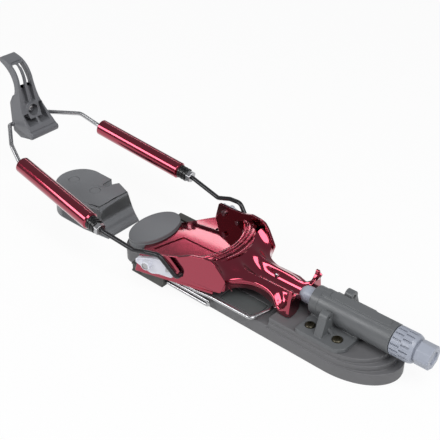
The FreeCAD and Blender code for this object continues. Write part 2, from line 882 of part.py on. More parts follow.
def toe_plate():
    """The whole red plate, with its socket, channel, rivet holes and pivot holes."""
    ears = both_sides(ear())
    shape = floor_plate().fuse(ears + [toe_hood(), neck_and_yoke()])
    pivot = Vector(float(s.pivot_x), 0, float(s.barrel_height))
    socket_radius = float(s.plunger_radius) + float(s.sliding_gap)
    socket = Part.makeSphere(socket_radius, pivot).fuse(drum(X_AXIS, socket_radius, 20, pivot))
    floor_z = float(s.channel_floor)
    channel_section = [(5.4, floor_z), (7.4, 60), (-7.4, 60), (-5.4, floor_z)]
    channel = prism([Vector(-6, y, z) for y, z in channel_section], Vector(60, 0, 0))
    pin_radius = float(s.wire_radius) + float(s.running_gap)
    pivot_start = Vector(float(s.cable_pivot_x), -100, float(s.cable_pivot_z))
    pivot_hole = drum(Y_AXIS, pin_radius, 200, pivot_start)
    cuts = [socket, channel, pivot_hole]
    outward = ear_frame()[1]
    for x, z, radius in (
        (s.bracket_screw_x, s.bracket_screw_z, s.bracket_screw_radius),
        (s.bracket_rivet_x, s.bracket_rivet_z, s.rivet_radius),
    ):
        start = on_ear(float(x), float(z)) - outward * 10
        cuts += both_sides(drum(outward, radius, 20, start))
    shape = shape.cut(cuts).removeSplitter()
    return node(shaped("toe_plate", shape), "toe_plate")


def brackets():
    """The cast bracket on the outside of each ear, with its screw, nut and rivet."""
    outward = ear_frame()[1]
    wall = float(s.plate_thickness)
    thickness = float(s.bracket_thickness)
    boss_radius = float(s.bracket_boss_radius)
    boss_height = thickness + float(s.bracket_boss_height)
    recess = 2.2
    edge = [
        (-88, 29.5),
        (-87, 34),
        (-80, 36.5),
        (-66, 40),
        (-62.5, 39.5),
        (-52, 28),
        (-53.5, 24.5),
        (-66, 24.5),
        (-73, 22.5),
    ]
    plate = prism([on_ear(x, z) for x, z in edge], outward * thickness)
    seat = on_ear(float(s.bracket_screw_x), float(s.bracket_screw_z))
    boss = drum(outward, boss_radius, boss_height, seat)
    screw_hole = drum(outward, s.bracket_screw_radius, 20, seat)
    head_start = seat + outward * (boss_height - recess)
    head_hole = drum(outward, boss_radius - 1.2, 20, head_start)
    rivet_seat = on_ear(float(s.bracket_rivet_x), float(s.bracket_rivet_z))
    rivet_hole = drum(outward, s.rivet_radius, 20, rivet_seat)
    shape = plate.fuse(boss).cut([screw_hole, head_hole, rivet_hole]).removeSplitter()
    for (side, _), half in zip(SIDES, both_sides(shape)):
        node(shaped(f"{side}_bracket", half), f"{side}_bracket")

    nut_height = 1.8
    screw_start = seat - outward * (wall + nut_height)
    screw_length = wall + nut_height + boss_height - recess
    screw = drum(outward, boss_radius - 1.4, nut_height, head_start)
    screw = screw.fuse(drum(outward, s.bracket_screw_radius, screw_length, screw_start))
    nut = drum(outward, 2.9, nut_height, screw_start)
    nut = nut.cut(drum(outward, s.bracket_screw_radius, nut_height, screw_start))
    head_height = float(s.rivet_head_height)
    rivet_start = rivet_seat - outward * (wall + head_height)
    rivet = drum(outward, s.rivet_radius, wall + thickness + head_height, rivet_start)
    rivet = rivet.fuse(drum(outward, s.rivet_head_radius, head_height, rivet_start))
    pieces = (("bracket_screws", screw), ("bracket_nuts", nut), ("bracket_rivets", rivet))
    for label, piece in pieces:
        node(shaped(label, Part.makeCompound(both_sides(piece))), label)


# ---------------------------------------------------------------- cable frame


def tube_frame(side):
    """The start of a cartridge's front end and its direction, rearwards."""
    front = Vector(float(s.tube_front_x), side * float(s.tube_front_y), float(s.tube_front_z))
    rear = Vector(float(s.tube_rear_x), side * float(s.tube_rear_y), float(s.tube_rear_z))
    return front, (rear - front).normalize(), (rear - front).Length


def side_rod(label, side):
    """The black rod from the pivot hole in the ear to the front of a cartridge."""
    front, direction, _ = tube_frame(side)
    pin_y = ear_y(float(s.cable_pivot_x))
    points = [
        Vector(float(s.cable_pivot_x), side * (pin_y - 4), float(s.cable_pivot_z)),
        Vector(float(s.cable_pivot_x), side * (pin_y + 5), float(s.cable_pivot_z)),
        Vector(-62, side * 51.5, 46.5),
        Vector(-76, side * 53.5, 44),
        Vector(-90, side * 53.5, 39.2),
        front - direction * (float(s.end_cap_length) + float(s.lock_nut_length)),
        front - direction * 1.5,
    ]
    bend = float(s.rod_bend)
    shape = bent_wire(points, [3.2, bend, bend, bend, 40], s.wire_radius)
    return node(shaped(label, shape), label)


def cartridge(side_name, side):
    """One spring cartridge: tube, front cap, lock nut and the spring inside."""
    front, direction, length = tube_frame(side)
    place = along(direction, front.x, front.y, front.z)
    tube_length = as_size(length)
    chamfer = s.tube_chamfer
    profile = [
        (s.tube_bore, 0),
        (s.tube_radius - chamfer, 0),
        (s.tube_radius, chamfer),
        (s.tube_radius, tube_length - chamfer),
        (s.tube_radius - chamfer, tube_length),
        (s.tube_rear_hole, tube_length),
        (s.tube_rear_hole, tube_length - s.tube_rear_wall),
        (s.tube_bore, tube_length - s.tube_rear_wall),
    ]
    label = f"{side_name}_cartridge_tube"
    node(turned(label, profile, place), label)

    cap_radius = s.end_cap_radius
    groove = 0.7
    pitch = s.end_cap_length / 5
    profile = [(s.wire_radius, s.cap_plug_length), (s.wire_radius, -s.end_cap_length)]
    for rib in range(3):
        start = -s.end_cap_length + 2 * rib * pitch
        profile += [(cap_radius, start), (cap_radius, start + pitch)]
        if rib < 2:
            profile += [(cap_radius - groove, start + pitch), (cap_radius - groove, start + 2 * pitch)]
    profile[-1] = (cap_radius, 0)
    profile += [(s.tube_bore, 0), (s.tube_bore, s.cap_plug_length)]
    label = f"{side_name}_end_cap"
    node(turned(label, profile, place), label)

    body = new_body(f"{side_name}_lock_nut")
    sketch = new_sketch(body, "XY_Plane")
    corners = []
    for corner in range(6):
        angle = math.radians(60 * corner + 30)
        corners.append((s.lock_nut_radius * math.cos(angle), s.lock_nut_radius * math.sin(angle)))
    draw_polygon(sketch, corners)
    draw_circle(sketch, s.wire_radius)
    pad(body, sketch, s.lock_nut_length)
    nut_start = front - direction * float(s.end_cap_length + s.lock_nut_length)
    body.Placement = along(direction, nut_start.x, nut_start.y, nut_start.z)
    node(body, f"{side_name}_lock_nut")

    spring_start = float(s.piston_setback + s.piston_length + s.coil_wire_radius) + 0.2
    spring_end = length - float(s.tube_rear_wall) - float(s.coil_wire_radius) - 0.2
    seat = front + direction * spring_start
    spring = coil_spring(
        float(s.coil_radius),
        float(s.coil_wire_radius),
        spring_end - spring_start,
        float(s.coil_turns),
        along(direction, seat.x, seat.y, seat.z),
    )
    node(shaped(f"{side_name}_cartridge_spring", spring), f"{side_name}_cartridge_spring")


# ---------------------------------------------------------------- heel loop and lever


def heel_wire():
    """The bent wire that runs from one cartridge round the heel to the other."""
    route = []
    for _, side in SIDES:
        front, direction, length = tube_frame(side)
        route.append([
            front + direction * float(s.piston_setback),
            front + direction * (length + 5),
            Vector(float(s.loop_bend_x), side * float(s.loop_bend_y), float(s.loop_bend_z)),
            Vector(float(s.loop_end_x), side * float(s.loop_end_y), float(s.loop_end_z)),
        ])
    points = route[0] + route[1][::-1]
    corner = float(s.loop_corner_bend)
    shape = bent_wire(points, [10, 12, corner, corner, 12, 10], s.wire_radius)
    return node(shaped("heel_wire", shape), "heel_wire")


def piston(side_name, side):
    """The threaded piston on the end of the heel wire, which squeezes the spring."""
    front, direction, _ = tube_frame(side)
    seat = front + direction * float(s.piston_setback)
    bore = s.wire_radius
    length = s.piston_length
    profile = [(bore, 0), (s.piston_radius, 0), (s.piston_radius, length), (bore, length)]
    label = f"{side_name}_piston"
    return node(turned(label, profile, along(direction, seat.x, seat.y, seat.z)), label)


def lever_side_outline():
    """The heel lever seen from the side, from the lip round to the top and back down."""
    back = float(s.loop_end_x)
    lip = float(s.lever_lip_x)
    top_x = float(s.lever_top_x)
    top_z = float(s.lever_top_z)
    lip_top = Vector(lip - 3, 0, 71)
    lip_bottom = Vector(lip - 3, 0, 63.5)
    foot = Vector(back, 0, 65)
    shoulder = Vector(back, 0, float(s.clamp_top))
    tip_front = Vector(top_x, 0, top_z)
    tip_back = Vector(top_x - 3, 0, top_z - 3.5)
    front_line = [
        (-275.5, 80),
        (-281, 89),
        (-284, 100),
        (-285.5, 111),
        (-286.8, 119),
        (-291, 126.5),
        (-299, 132),
    ]
    rear_line = [(-292, 105), (-293, 113), (-297, 120.5), (-303.5, 126.5)]
    front = smooth_edge([lip_top] + [Vector(x, 0, z) for x, z in front_line] + [tip_front])
    rear = smooth_edge([shoulder] + [Vector(x, 0, z) for x, z in rear_line] + [tip_back])
    lip_arc = Part.Arc(lip_bottom, Vector(lip + 0.7, 0, 67.2), lip_top).toShape()
    edges = [
        lip_arc,
        front,
        Part.makeLine(tip_front, tip_back),
        rear,
        Part.makeLine(shoulder, foot),
        Part.makeLine(foot, Vector(-284, 0, 60.5)),
        Part.makeLine(Vector(-284, 0, 60.5), lip_bottom),
    ]
    return Part.Face(Part.Wire(Part.__sortEdges__(edges)))


LEVER_BOLT_SEAT_X = -285.5


def wire_groove():
    """The round space in lever and clamp that the heel wire's cross run turns in."""
    radius = float(s.wire_radius) + float(s.running_gap)
    return drum(Y_AXIS, radius, 60, Vector(float(s.loop_end_x), -30, float(s.loop_end_z)))


def heel_lever():
    """The tall heel lever: ribbed pockets, two slots at the top and a lip for the boot."""
    wide = float(s.lever_half_width)
    narrow = float(s.lever_top_half_width)
    lip = float(s.lever_lip_half_width)
    side = lever_side_outline()
    side.translate(Vector(0, -20, 0))
    shape = side.extrude(Vector(0, 40, 0))
    front_outline = [
        (lip, 55),
        (lip, 70),
        (wide, 74),
        (wide - 1.5, 84),
        (11, 97),
        (narrow + 0.7, 112),
        (narrow, 140),
    ]
    front_outline += [(-y, z) for y, z in reversed(front_outline)]
    shape = shape.common(prism([Vector(-330, y, z) for y, z in front_outline], Vector(80, 0, 0)))
    bolt_z = float(s.lever_bolt_z)
    head_space = float(s.lever_bolt_head_radius) + 1.2
    cuts = [
        drum(X_AXIS, s.lever_bolt_radius, 60, Vector(-310, 0, bolt_z)),
        drum(X_AXIS, head_space, 60, Vector(LEVER_BOLT_SEAT_X, 0, bolt_z)),
        wire_groove(),
    ]
    for sign in (-1, 1):
        slot = sorted((sign * 1.8, sign * 5.4))
        cuts.append(block(-330, -250, slot[0], slot[1], 109, 126))
        cuts.append(block(-289.5, -250, slot[0], slot[1], 94, 109.1))
        lower = sorted((sign * 1.2, sign * 12))
        cuts.append(block(-286, -270, lower[0], lower[1], 70.5, 79.5))
        upper = sorted((sign * 7.5, sign * 11.5))
        cuts.append(block(-286, -270, upper[0], upper[1], 79.4, 88))
    shape = shape.cut(cuts).removeSplitter()
    return node(shaped("heel_lever", shape), "heel_lever")


def lever_clamp():
    """The plate behind the lever that traps the heel wire, with its bolt and nut."""
    front = float(s.loop_end_x)
    rear = front - float(s.clamp_thickness)
    half = float(s.clamp_half_width)
    top = float(s.clamp_top)
    bottom = float(s.loop_end_z) - 6
    shoulder = top - 6
    outline = [(half, bottom), (half - 1, shoulder), (8, top)]
    outline += [(-y, z) for y, z in reversed(outline)]
    plate = prism([Vector(rear, y, z) for y, z in outline], Vector(front - rear, 0, 0))
    hole = drum(X_AXIS, s.lever_bolt_radius, 60, Vector(-320, 0, float(s.lever_bolt_z)))
    node(shaped("lever_clamp", plate.cut([wire_groove(), hole])), "lever_clamp")

    head_x = LEVER_BOLT_SEAT_X
    nut_x = rear - 3
    radius = s.lever_bolt_radius
    head = cylinder(X_AXIS, s.lever_bolt_head_radius, 3.0, head_x, 0, s.lever_bolt_z)
    shank = cylinder(X_AXIS, radius, head_x - nut_x, nut_x, 0, s.lever_bolt_z)
    node(fuse(head, shank), "lever_bolt")
    nut = doc.addObject("Part::Prism", "prism")
    nut.Polygon = 6
    nut.Placement = FreeCAD.Placement(Vector(nut_x, 0, 0), FreeCAD.Rotation(Z_AXIS, X_AXIS))
    bind(nut, Circumradius=radius * 2.1, Height=3, Placement__Base__z=s.lever_bolt_z)
    bore = cylinder(X_AXIS, radius, 3, nut_x, 0, s.lever_bolt_z)
    node(cut(nut, bore), "lever_bolt_nut")


# ---------------------------------------------------------------- tour lock


def lock_slider():
    """The slide under the toe plate: two outside rails joined by a cross plate."""
    deck = s.base_height + s.sliding_gap
    inner = s.rail_inner_y
    outer = s.rail_outer_y
    tip = s.rail_front_x
    rear = tip - s.rail_block_length
    front = tip - 2
    foot = s.rail_block_bottom
    plate_top = deck + 2.4
    parts = [
        box(rear, front, -inner - 2, inner + 2, deck, plate_top),
        box(s.right_rail_rear_x, front, -outer, -inner, 0.6, 9.8),
        box(s.left_rail_rear_x, front, inner, outer, 5.2, 14.6),
        box(rear, tip, -outer, -inner, foot, plate_top),
        box(rear, tip, inner, outer, foot, plate_top),
    ]
    holes = []
    for side in (-1, 1):
        y = side * s.lock_arm_y
        start = tip - s.lock_wire_seat
        for z in (s.hairpin_low_z, s.hairpin_high_z, s.lock_arm_z):
            holes.append(cylinder(X_AXIS, s.lock_wire_radius, s.lock_wire_seat, start, y, z))
    return node(cut(fuse(*parts), *holes), "lock_slider")


def lock_wires():
    """The bail that the skier pushes, and the hairpin wire on each side."""
    y = float(s.lock_arm_y)
    radius = float(s.lock_wire_radius)
    start_x = float(s.rail_front_x) - float(s.lock_wire_seat)
    arm_z = float(s.lock_arm_z)
    bar_x = float(s.lock_bar_x)
    bar_z = float(s.lock_bar_z)
    far_y = float(s.lock_far_arm_y)

    def arm(run_y, sign):
        return [
            Vector(start_x, sign * y, arm_z),
            Vector(-36, sign * y, arm_z),
            Vector(-18, sign * run_y, bar_z - 1.6),
            Vector(bar_x - 4, sign * run_y, bar_z - 0.8),
            Vector(bar_x + 1.5, sign * (y - 17), bar_z),
        ]

    points = arm(far_y, 1) + list(reversed(arm(y, -1)))
    shape = bent_wire(points, [10, 10, 4, 8, 8, 4, 10, 10], radius)
    node(shaped("lock_bail_wire", shape), "lock_bail_wire")
    low = float(s.hairpin_low_z)
    high = float(s.hairpin_high_z)
    tip = float(s.hairpin_front_x)
    turn = (high - low) / 2 - 0.05
    corners = [(start_x, low), (tip, low), (tip, high), (start_x, high)]
    hairpin = bent_wire([Vector(x, y, z) for x, z in corners], [turn, turn], radius)
    node(shaped("lock_hairpins", Part.makeCompound(both_sides(hairpin))), "lock_hairpins")


# ---------------------------------------------------------------- heel pad


def heel_pad():
    """The heel pad: a rounded block with a hooked slot and a sloping front wall."""
    top = float(s.heel_pad_top)
    rear = float(s.heel_pad_rear)
    front = float(s.heel_pad_front)
    foot = float(s.heel_pad_foot_front)
    half = float(s.heel_pad_half_width)

    def outline(z, inset, front_x):
        rear_centre = rear + half
        start = Vector(front_x, -(half - 4) + inset, z)
        side_end = Vector(rear_centre, -half + inset, z)
        crown = Vector(rear + inset, 0, z)
        side_start = Vector(rear_centre, half - inset, z)
        end = Vector(front_x, half - 6 - inset, z)
        edges = [
            Part.makeLine(start, side_end),
            Part.Arc(side_end, crown, side_start).toShape(),
            Part.makeLine(side_start, end),
            Part.makeLine(end, start),
        ]
        return Part.Wire(edges)

    sections = [outline(0, 0, foot), outline(6, 0.6, foot - 3), outline(top, 1.6, front)]
    shape = Part.makeLoft(sections, True, True)
    slot_half = 3.5
    slot_x = -195.5
    slot = block(slot_x - slot_half, slot_x + slot_half, 12, 40, -1, top + 1)
    slot = slot.fuse(drum(Z_AXIS, slot_half, top + 2, Vector(slot_x, 12, -1)))
    cuts = [slot]
    for x in (s.heel_screw_rear, s.heel_screw_front):
        centre = Vector(float(x), float(s.heel_screw_y), 0)
        cuts.append(drum(Z_AXIS, s.screw_radius, top, centre))
        cuts.append(drum(Z_AXIS, float(s.screw_head_radius) + 0.6, top, centre + Vector(0, 0, 8)))
    node(shaped("heel_pad", shape.cut(cuts).removeSplitter()), "heel_pad")
    screws = []
    plugs = []
    for x in (s.heel_screw_rear, s.heel_screw_front):
        head = cylinder(Z_AXIS, s.screw_head_radius, s.screw_head_height, x, s.heel_screw_y, 8)
        shank = cylinder(Z_AXIS, s.screw_radius, 7.5, x, s.heel_screw_y, 0.5)
        screws.append(fuse(head, shank))
        plugs.append(cylinder(Z_AXIS, s.screw_head_radius + 0.6, 4, x, s.heel_screw_y, s.heel_pad_top - 4))
    group("heel_pad_screws", screws)
    group("heel_pad_plugs", plugs)


def build():
    """Every sub-part, from the base upwards and rearwards."""
    base_plate()
    rear_pad()
    release_housing()
    housing_screws()
    end_bush()
    plunger()
    release_spring()
    preload_nut()
    adjuster_spindle()
    adjuster_knob()
    adjuster_cap()
    toe_plate()
    brackets()
    for name, side in SIDES:
        side_rod(f"{name}_rod", side)
        cartridge(name, side)
        piston(name, side)
    heel_wire()
    heel_lever()
    lever_clamp()
    lock_slider()
    lock_wires()
    heel_pad()


def check_and_export():
    """Stop on any failed object or bad shape, then write one file for each sub-part."""
    doc.recompute()
    for item in doc.Objects:
        if {"Invalid", "Error"} & set(item.State):
            raise RuntimeError(f"{item.Label} failed: {item.State}")
    for item in nodes:
        shape = item.Shape
        if shape.isNull() or not shape.isValid() or not shape.Solids:
            raise RuntimeError(f"{item.Label} has no valid solid")
    os.makedirs("parts", exist_ok=True)
    for item in nodes:
        item.Shape.exportStep(f"parts/{item.Label}.step")


build()
check_and_export()
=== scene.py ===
"""A releasable telemark touring binding: its looks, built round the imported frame.

Lengths in the shape code are millimetres; each finished mesh is scaled to metres.
"""

import json
import math

import bmesh
import bpy
from mathutils import Matrix, Vector


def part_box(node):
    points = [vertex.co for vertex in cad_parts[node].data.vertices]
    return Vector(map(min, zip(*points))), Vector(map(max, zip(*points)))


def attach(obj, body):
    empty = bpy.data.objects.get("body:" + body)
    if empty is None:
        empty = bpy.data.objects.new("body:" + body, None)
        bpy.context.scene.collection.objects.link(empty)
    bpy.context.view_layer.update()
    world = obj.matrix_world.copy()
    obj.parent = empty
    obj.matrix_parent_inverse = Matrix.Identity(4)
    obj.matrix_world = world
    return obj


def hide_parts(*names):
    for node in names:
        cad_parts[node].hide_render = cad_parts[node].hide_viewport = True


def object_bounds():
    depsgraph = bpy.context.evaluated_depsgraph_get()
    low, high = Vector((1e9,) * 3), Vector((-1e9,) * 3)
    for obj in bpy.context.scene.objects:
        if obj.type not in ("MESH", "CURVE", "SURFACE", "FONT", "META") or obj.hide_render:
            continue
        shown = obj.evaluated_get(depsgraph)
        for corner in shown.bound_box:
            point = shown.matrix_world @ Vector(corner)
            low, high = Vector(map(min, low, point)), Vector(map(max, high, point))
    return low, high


bl_info = {
    "name": "Touring Binding",
    "version": (1, 0, 0),
    "blender": (4, 5, 0),
    "location": "View3D > Sidebar > Binding",
    "description": "Builds the detailed pieces of a touring binding round its CAD frame",
    "category": "Object",
}

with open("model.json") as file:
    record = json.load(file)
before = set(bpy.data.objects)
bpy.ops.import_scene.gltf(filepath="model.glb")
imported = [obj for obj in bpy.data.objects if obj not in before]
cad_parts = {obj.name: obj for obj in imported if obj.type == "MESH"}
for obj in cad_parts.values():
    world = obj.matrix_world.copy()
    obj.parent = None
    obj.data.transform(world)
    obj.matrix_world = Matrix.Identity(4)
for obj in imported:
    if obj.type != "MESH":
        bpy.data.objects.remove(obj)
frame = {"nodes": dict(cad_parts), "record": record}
CAD_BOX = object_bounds()

MM = 0.001
X_AXIS = Vector((1, 0, 0))
Y_AXIS = Vector((0, 1, 0))
Z_AXIS = Vector((0, 0, 1))
SIDES = (("left", 1), ("right", -1))
BARREL_AXIS_Z = 34.5


def linear(hex_colour):
    """An sRGB hex colour as linear red, green, blue."""
    channels = [int(hex_colour[start:start + 2], 16) / 255 for start in (1, 3, 5)]
    return tuple(c / 12.92 if c <= 0.04045 else ((c + 0.055) / 1.055) ** 2.4 for c in channels)


def colour(title, text, hex_colour):
    """A colour property with its default."""
    return bpy.props.FloatVectorProperty(
        name=title, description=text, subtype="COLOR", size=3, min=0, max=1, default=linear(hex_colour)
    )


def length(title, text, millimetres):
    """A length property with its default."""
    return bpy.props.FloatProperty(
        name=title, description=text, unit="LENGTH", min=0, default=millimetres * MM, precision=5
    )


class BindingSizes(bpy.types.PropertyGroup):
    """Sizes of the details that the frame leaves open."""

    edge: length("Moulded edge", "Radius of the edges of the moulded pieces", 0.7)
    sheet: length("Plate thickness", "Thickness of the toe plate's walls", 2.5)
    tube_chamfer: length("Cartridge chamfer", "Chamfer on the ends of a cartridge", 1.3)
    knob_groove: length("Knob groove", "Depth of the grooves in the adjuster knob", 1.1)
    rib_depth: length("Bail rib", "Depth of the grooves between the toe bail's ribs", 0.8)
    panel_depth: length("Deck recess", "Depth of the recess in the base under the neck", 1.4)


class BindingColours(bpy.types.PropertyGroup):
    """Colours of the finishes."""

    red: colour("Anodised red", "Toe plate and cartridges", "#9D263F")
    base: colour("Base", "Moulded base plate", "#636365")
    pad: colour("Pads", "Boot pad and heel pad", "#737578")
    housing: colour("Housing", "Release housing", "#5F6163")
    lever: colour("Lever", "Heel lever and clamp", "#6A6B6F")
    rails: colour("Rails", "Tour lock slide", "#42423F")
    knob: colour("Knob", "Plunger, knob and cap", "#9CA1AD")
    casting: colour("Brackets", "Bright cast brackets", "#DCDDE6")
    steel: colour("Bright steel", "Wires, nuts and bolt", "#B4B4B6")
    black: colour("Black steel", "Side rods", "#39393B")


# ------------------------------------------------------------------ mesh helpers


def place_along(origin, direction):
    """The matrix that puts a shape's own Z axis along a direction, from an origin."""
    turn = Vector(direction).to_track_quat("Z", "Y").to_matrix().to_4x4()
    return Matrix.Translation(Vector(origin)) @ turn


def outward(bm):
    """Merge what coincides and turn every face outwards."""
    bmesh.ops.remove_doubles(bm, verts=bm.verts, dist=0.002)
    bmesh.ops.recalc_face_normals(bm, faces=bm.faces)
    return bm


def rounded_face(points, corner=0.0, segments=5):
    """A flat face through the points, with its corners rounded."""
    bm = bmesh.new()
    verts = [bm.verts.new(point) for point in points]
    bm.faces.new(verts)
    if corner:
        bmesh.ops.bevel(
            bm, geom=verts, offset=corner, offset_type="OFFSET", segments=segments, profile=0.5,
            affect="VERTICES", clamp_overlap=True, material=-1,
        )
    return bm


def prism(points, direction, corner=0.0, segments=5):
    """A flat outline swept straight along a vector."""
    bm = rounded_face(points, corner, segments)
    swept = bmesh.ops.extrude_face_region(bm, geom=bm.faces[:])
    moved = [item for item in swept["geom"] if isinstance(item, bmesh.types.BMVert)]
    bmesh.ops.translate(bm, verts=moved, vec=Vector(direction))
    return outward(bm)


def block(low, high):
    """A box between two corners."""
    bm = bmesh.new()
    low, high = Vector(low), Vector(high)
    size = high - low
    matrix = Matrix.Translation((low + high) / 2) @ Matrix.Diagonal((*size, 1))
    bmesh.ops.create_cube(bm, size=1, matrix=matrix)
    return bm


def drum(origin, direction, radius, height, segments=48):
    """A cylinder from an origin along a direction."""
    bm = bmesh.new()
    matrix = place_along(origin, direction) @ Matrix.Translation((0, 0, height / 2))
    bmesh.ops.create_cone(
        bm, cap_ends=True, segments=segments, radius1=radius, radius2=radius, depth=height, matrix=matrix
    )
    return bm


def turned(profile, origin, direction, steps=64):
    """A (radius, height) profile spun round its own Z axis and placed along a direction."""
    bm = bmesh.new()
    verts = [bm.verts.new((radius, 0, height)) for radius, height in profile]
    edges = [bm.edges.new(pair) for pair in zip(verts, verts[1:])]
    bmesh.ops.spin(
        bm, geom=verts + edges, cent=(0, 0, 0), axis=(0, 0, 1), angle=math.tau, steps=steps, use_merge=True
    )
    bmesh.ops.remove_doubles(bm, verts=bm.verts, dist=0.0005)
    bmesh.ops.transform(bm, matrix=place_along(origin, direction), verts=bm.verts)
    return outward(bm)


def softened(profile, radius, steps=3):
    """A turned profile with each inner corner rounded."""
    points = [Vector((r, h, 0)) for r, h in profile]
    line = [points[0]]
    for before, corner, after in zip(points, points[1:], points[2:]):
        back, ahead = before - corner, after - corner
        reach = min(radius, back.length * 0.45, ahead.length * 0.45)
        start, end = corner + back.normalized() * reach, corner + ahead.normalized() * reach
        for step in range(steps + 1):
            share = step / steps
            line.append((1 - share) ** 2 * start + 2 * share * (1 - share) * corner + share ** 2 * end)
    line.append(points[-1])
    return [(point.x, point.y) for point in line]


def bent_wire(points, bends, radius, segments=20):
    """A round wire along straight runs that tangent arcs join."""
    points = [Vector(point) for point in points]
    bm = bmesh.new()
    matrix = place_along(points[0], points[1] - points[0])
    ring = bmesh.ops.create_circle(bm, cap_ends=False, segments=segments, radius=radius, matrix=matrix)
    edges = list({edge for vert in ring["verts"] for edge in vert.link_edges})
    here = points[0]
    for number, corner in enumerate(points[1:-1], start=1):
        back = (points[number - 1] - corner).normalized()
        ahead = (points[number + 1] - corner).normalized()
        half_turn = (math.pi - back.angle(ahead)) / 2
        bend = bends[number - 1]
        reach = bend * math.tan(half_turn)
        arc_start = corner + back * reach
        centre = corner + (back + ahead).normalized() * (bend / math.cos(half_turn))
        run = bmesh.ops.extrude_edge_only(bm, edges=edges)["geom"]
        verts = [item for item in run if isinstance(item, bmesh.types.BMVert)]
        edges = [item for item in run if isinstance(item, bmesh.types.BMEdge)]
        bmesh.ops.translate(bm, verts=verts, vec=arc_start - here)
        steps = max(4, round(math.degrees(2 * half_turn) / 6))
        swept = bmesh.ops.spin(
            bm, geom=verts + edges, cent=centre, axis=(-back).cross(ahead).normalized(),
            angle=2 * half_turn, steps=steps,
        )["geom_last"]
        edges = [item for item in swept if isinstance(item, bmesh.types.BMEdge)]
        here = corner + ahead * reach
    run = bmesh.ops.extrude_edge_only(bm, edges=edges)["geom"]
    verts = [item for item in run if isinstance(item, bmesh.types.BMVert)]
    bmesh.ops.translate(bm, verts=verts, vec=points[-1] - here)
    open_edges = [edge for edge in bm.edges if edge.is_boundary]
    bmesh.ops.holes_fill(bm, edges=open_edges, sides=0)
    return outward(bm)


def mirrored(bm):
    """A copy of the shape on the other side of the centreline."""
    other = bm.copy()
    bmesh.ops.transform(other, matrix=Matrix.Diagonal((1, -1, 1, 1)), verts=other.verts)
    bmesh.ops.reverse_faces(other, faces=other.faces)
    return other


def both_sides(bm):
    """The shape and its mirror image across the centreline."""
    return [bm, mirrored(bm)]


def gathered(parts):
    """Several separate shapes as one mesh."""
    whole = bmesh.new()
    for part in parts:
        mesh = as_mesh(part)
        whole.from_mesh(mesh)
        bpy.data.meshes.remove(mesh)
    return whole


def as_mesh(bm):
    """The shape as mesh data; the bmesh is freed."""
    mesh = bpy.data.meshes.new("shape")
    bm.to_mesh(mesh)
    bm.free()
    return mesh


def as_object(bm):
    """The shape as an object in the scene, for the modifiers to work on."""
    item = bpy.data.objects.new("shape", as_mesh(bm))
    bpy.context.scene.collection.objects.link(item)
    return item


def settled(item):
    """The object's mesh with its modifiers applied; the object is removed."""
    bpy.context.view_layer.update()
    graph = bpy.context.evaluated_depsgraph_get()
    result = bpy.data.meshes.new_from_object(item.evaluated_get(graph))
    source = item.data
    bpy.data.objects.remove(item)
    bpy.data.meshes.remove(source)
    bm = bmesh.new()
    bm.from_mesh(result)
    bpy.data.meshes.remove(result)
    return bm


def combined(base, parts, how):
    """The base joined with, cut by or kept inside each of the parts, one after another."""
    for part in parts:
        body, tool = as_object(base), as_object(part)
        tool.hide_render = True
        modifier = body.modifiers.new("combine", "BOOLEAN")
        modifier.operation = how
        modifier.solver = "EXACT"
        modifier.object = tool
        base = settled(body)
        mesh = tool.data
        bpy.data.objects.remove(tool)
        bpy.data.meshes.remove(mesh)
    return base


def tidied(bm, angle=0.6):
    """Flat neighbours merged into one face, and slivers closed up."""
    bmesh.ops.remove_doubles(bm, verts=bm.verts, dist=0.02)
    bmesh.ops.dissolve_degenerate(bm, edges=bm.edges, dist=0.02)
    bmesh.ops.dissolve_limit(bm, angle_limit=math.radians(angle), verts=bm.verts, edges=bm.edges)
    return bm


def rounded_edges(bm, width, segments=3, angle=32):
    """Every edge sharper than the angle, rounded."""
    item = as_object(bm)
    bevel = item.modifiers.new("round", "BEVEL")
    bevel.width = width
    bevel.segments = segments
    bevel.limit_method = "ANGLE"
    bevel.angle_limit = math.radians(angle)
    bevel.use_clamp_overlap = False
    bevel.miter_outer = "MITER_ARC"
    return settled(item)


def piece(name, bm, body, material, nodes=(), sharp=35):
    """Finish a shape: smooth it up to an angle, scale it to metres and attach it."""
    mesh = bpy.data.meshes.new(name)
    bm.to_mesh(mesh)
    bm.free()
    mesh.transform(Matrix.Scale(MM, 4))
    mesh.shade_smooth()
    mesh.set_sharp_from_angle(angle=math.radians(sharp))
    mesh.materials.clear()
    mesh.materials.append(material)
    item = bpy.data.objects.new(name, mesh)
    bpy.context.scene.collection.objects.link(item)
    normals = item.modifiers.new("even_normals", "WEIGHTED_NORMAL")
    normals.keep_sharp = True
    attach(item, body)
    if nodes:
        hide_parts(*nodes)
    return item


# ------------------------------------------------------------------ finishes


def add(tree, kind, settings=None, links=None):
    """Add a shader node, set its properties and sockets, and link sockets to it."""
    item = tree.nodes.new(kind)
    for name, value in (settings or {}).items():
        if name in item.inputs:
            item.inputs[name].default_value = value
        else:
            setattr(item, name, value)
    for name, source in (links or {}).items():
        tree.links.new(source, item.inputs[name])
    return item


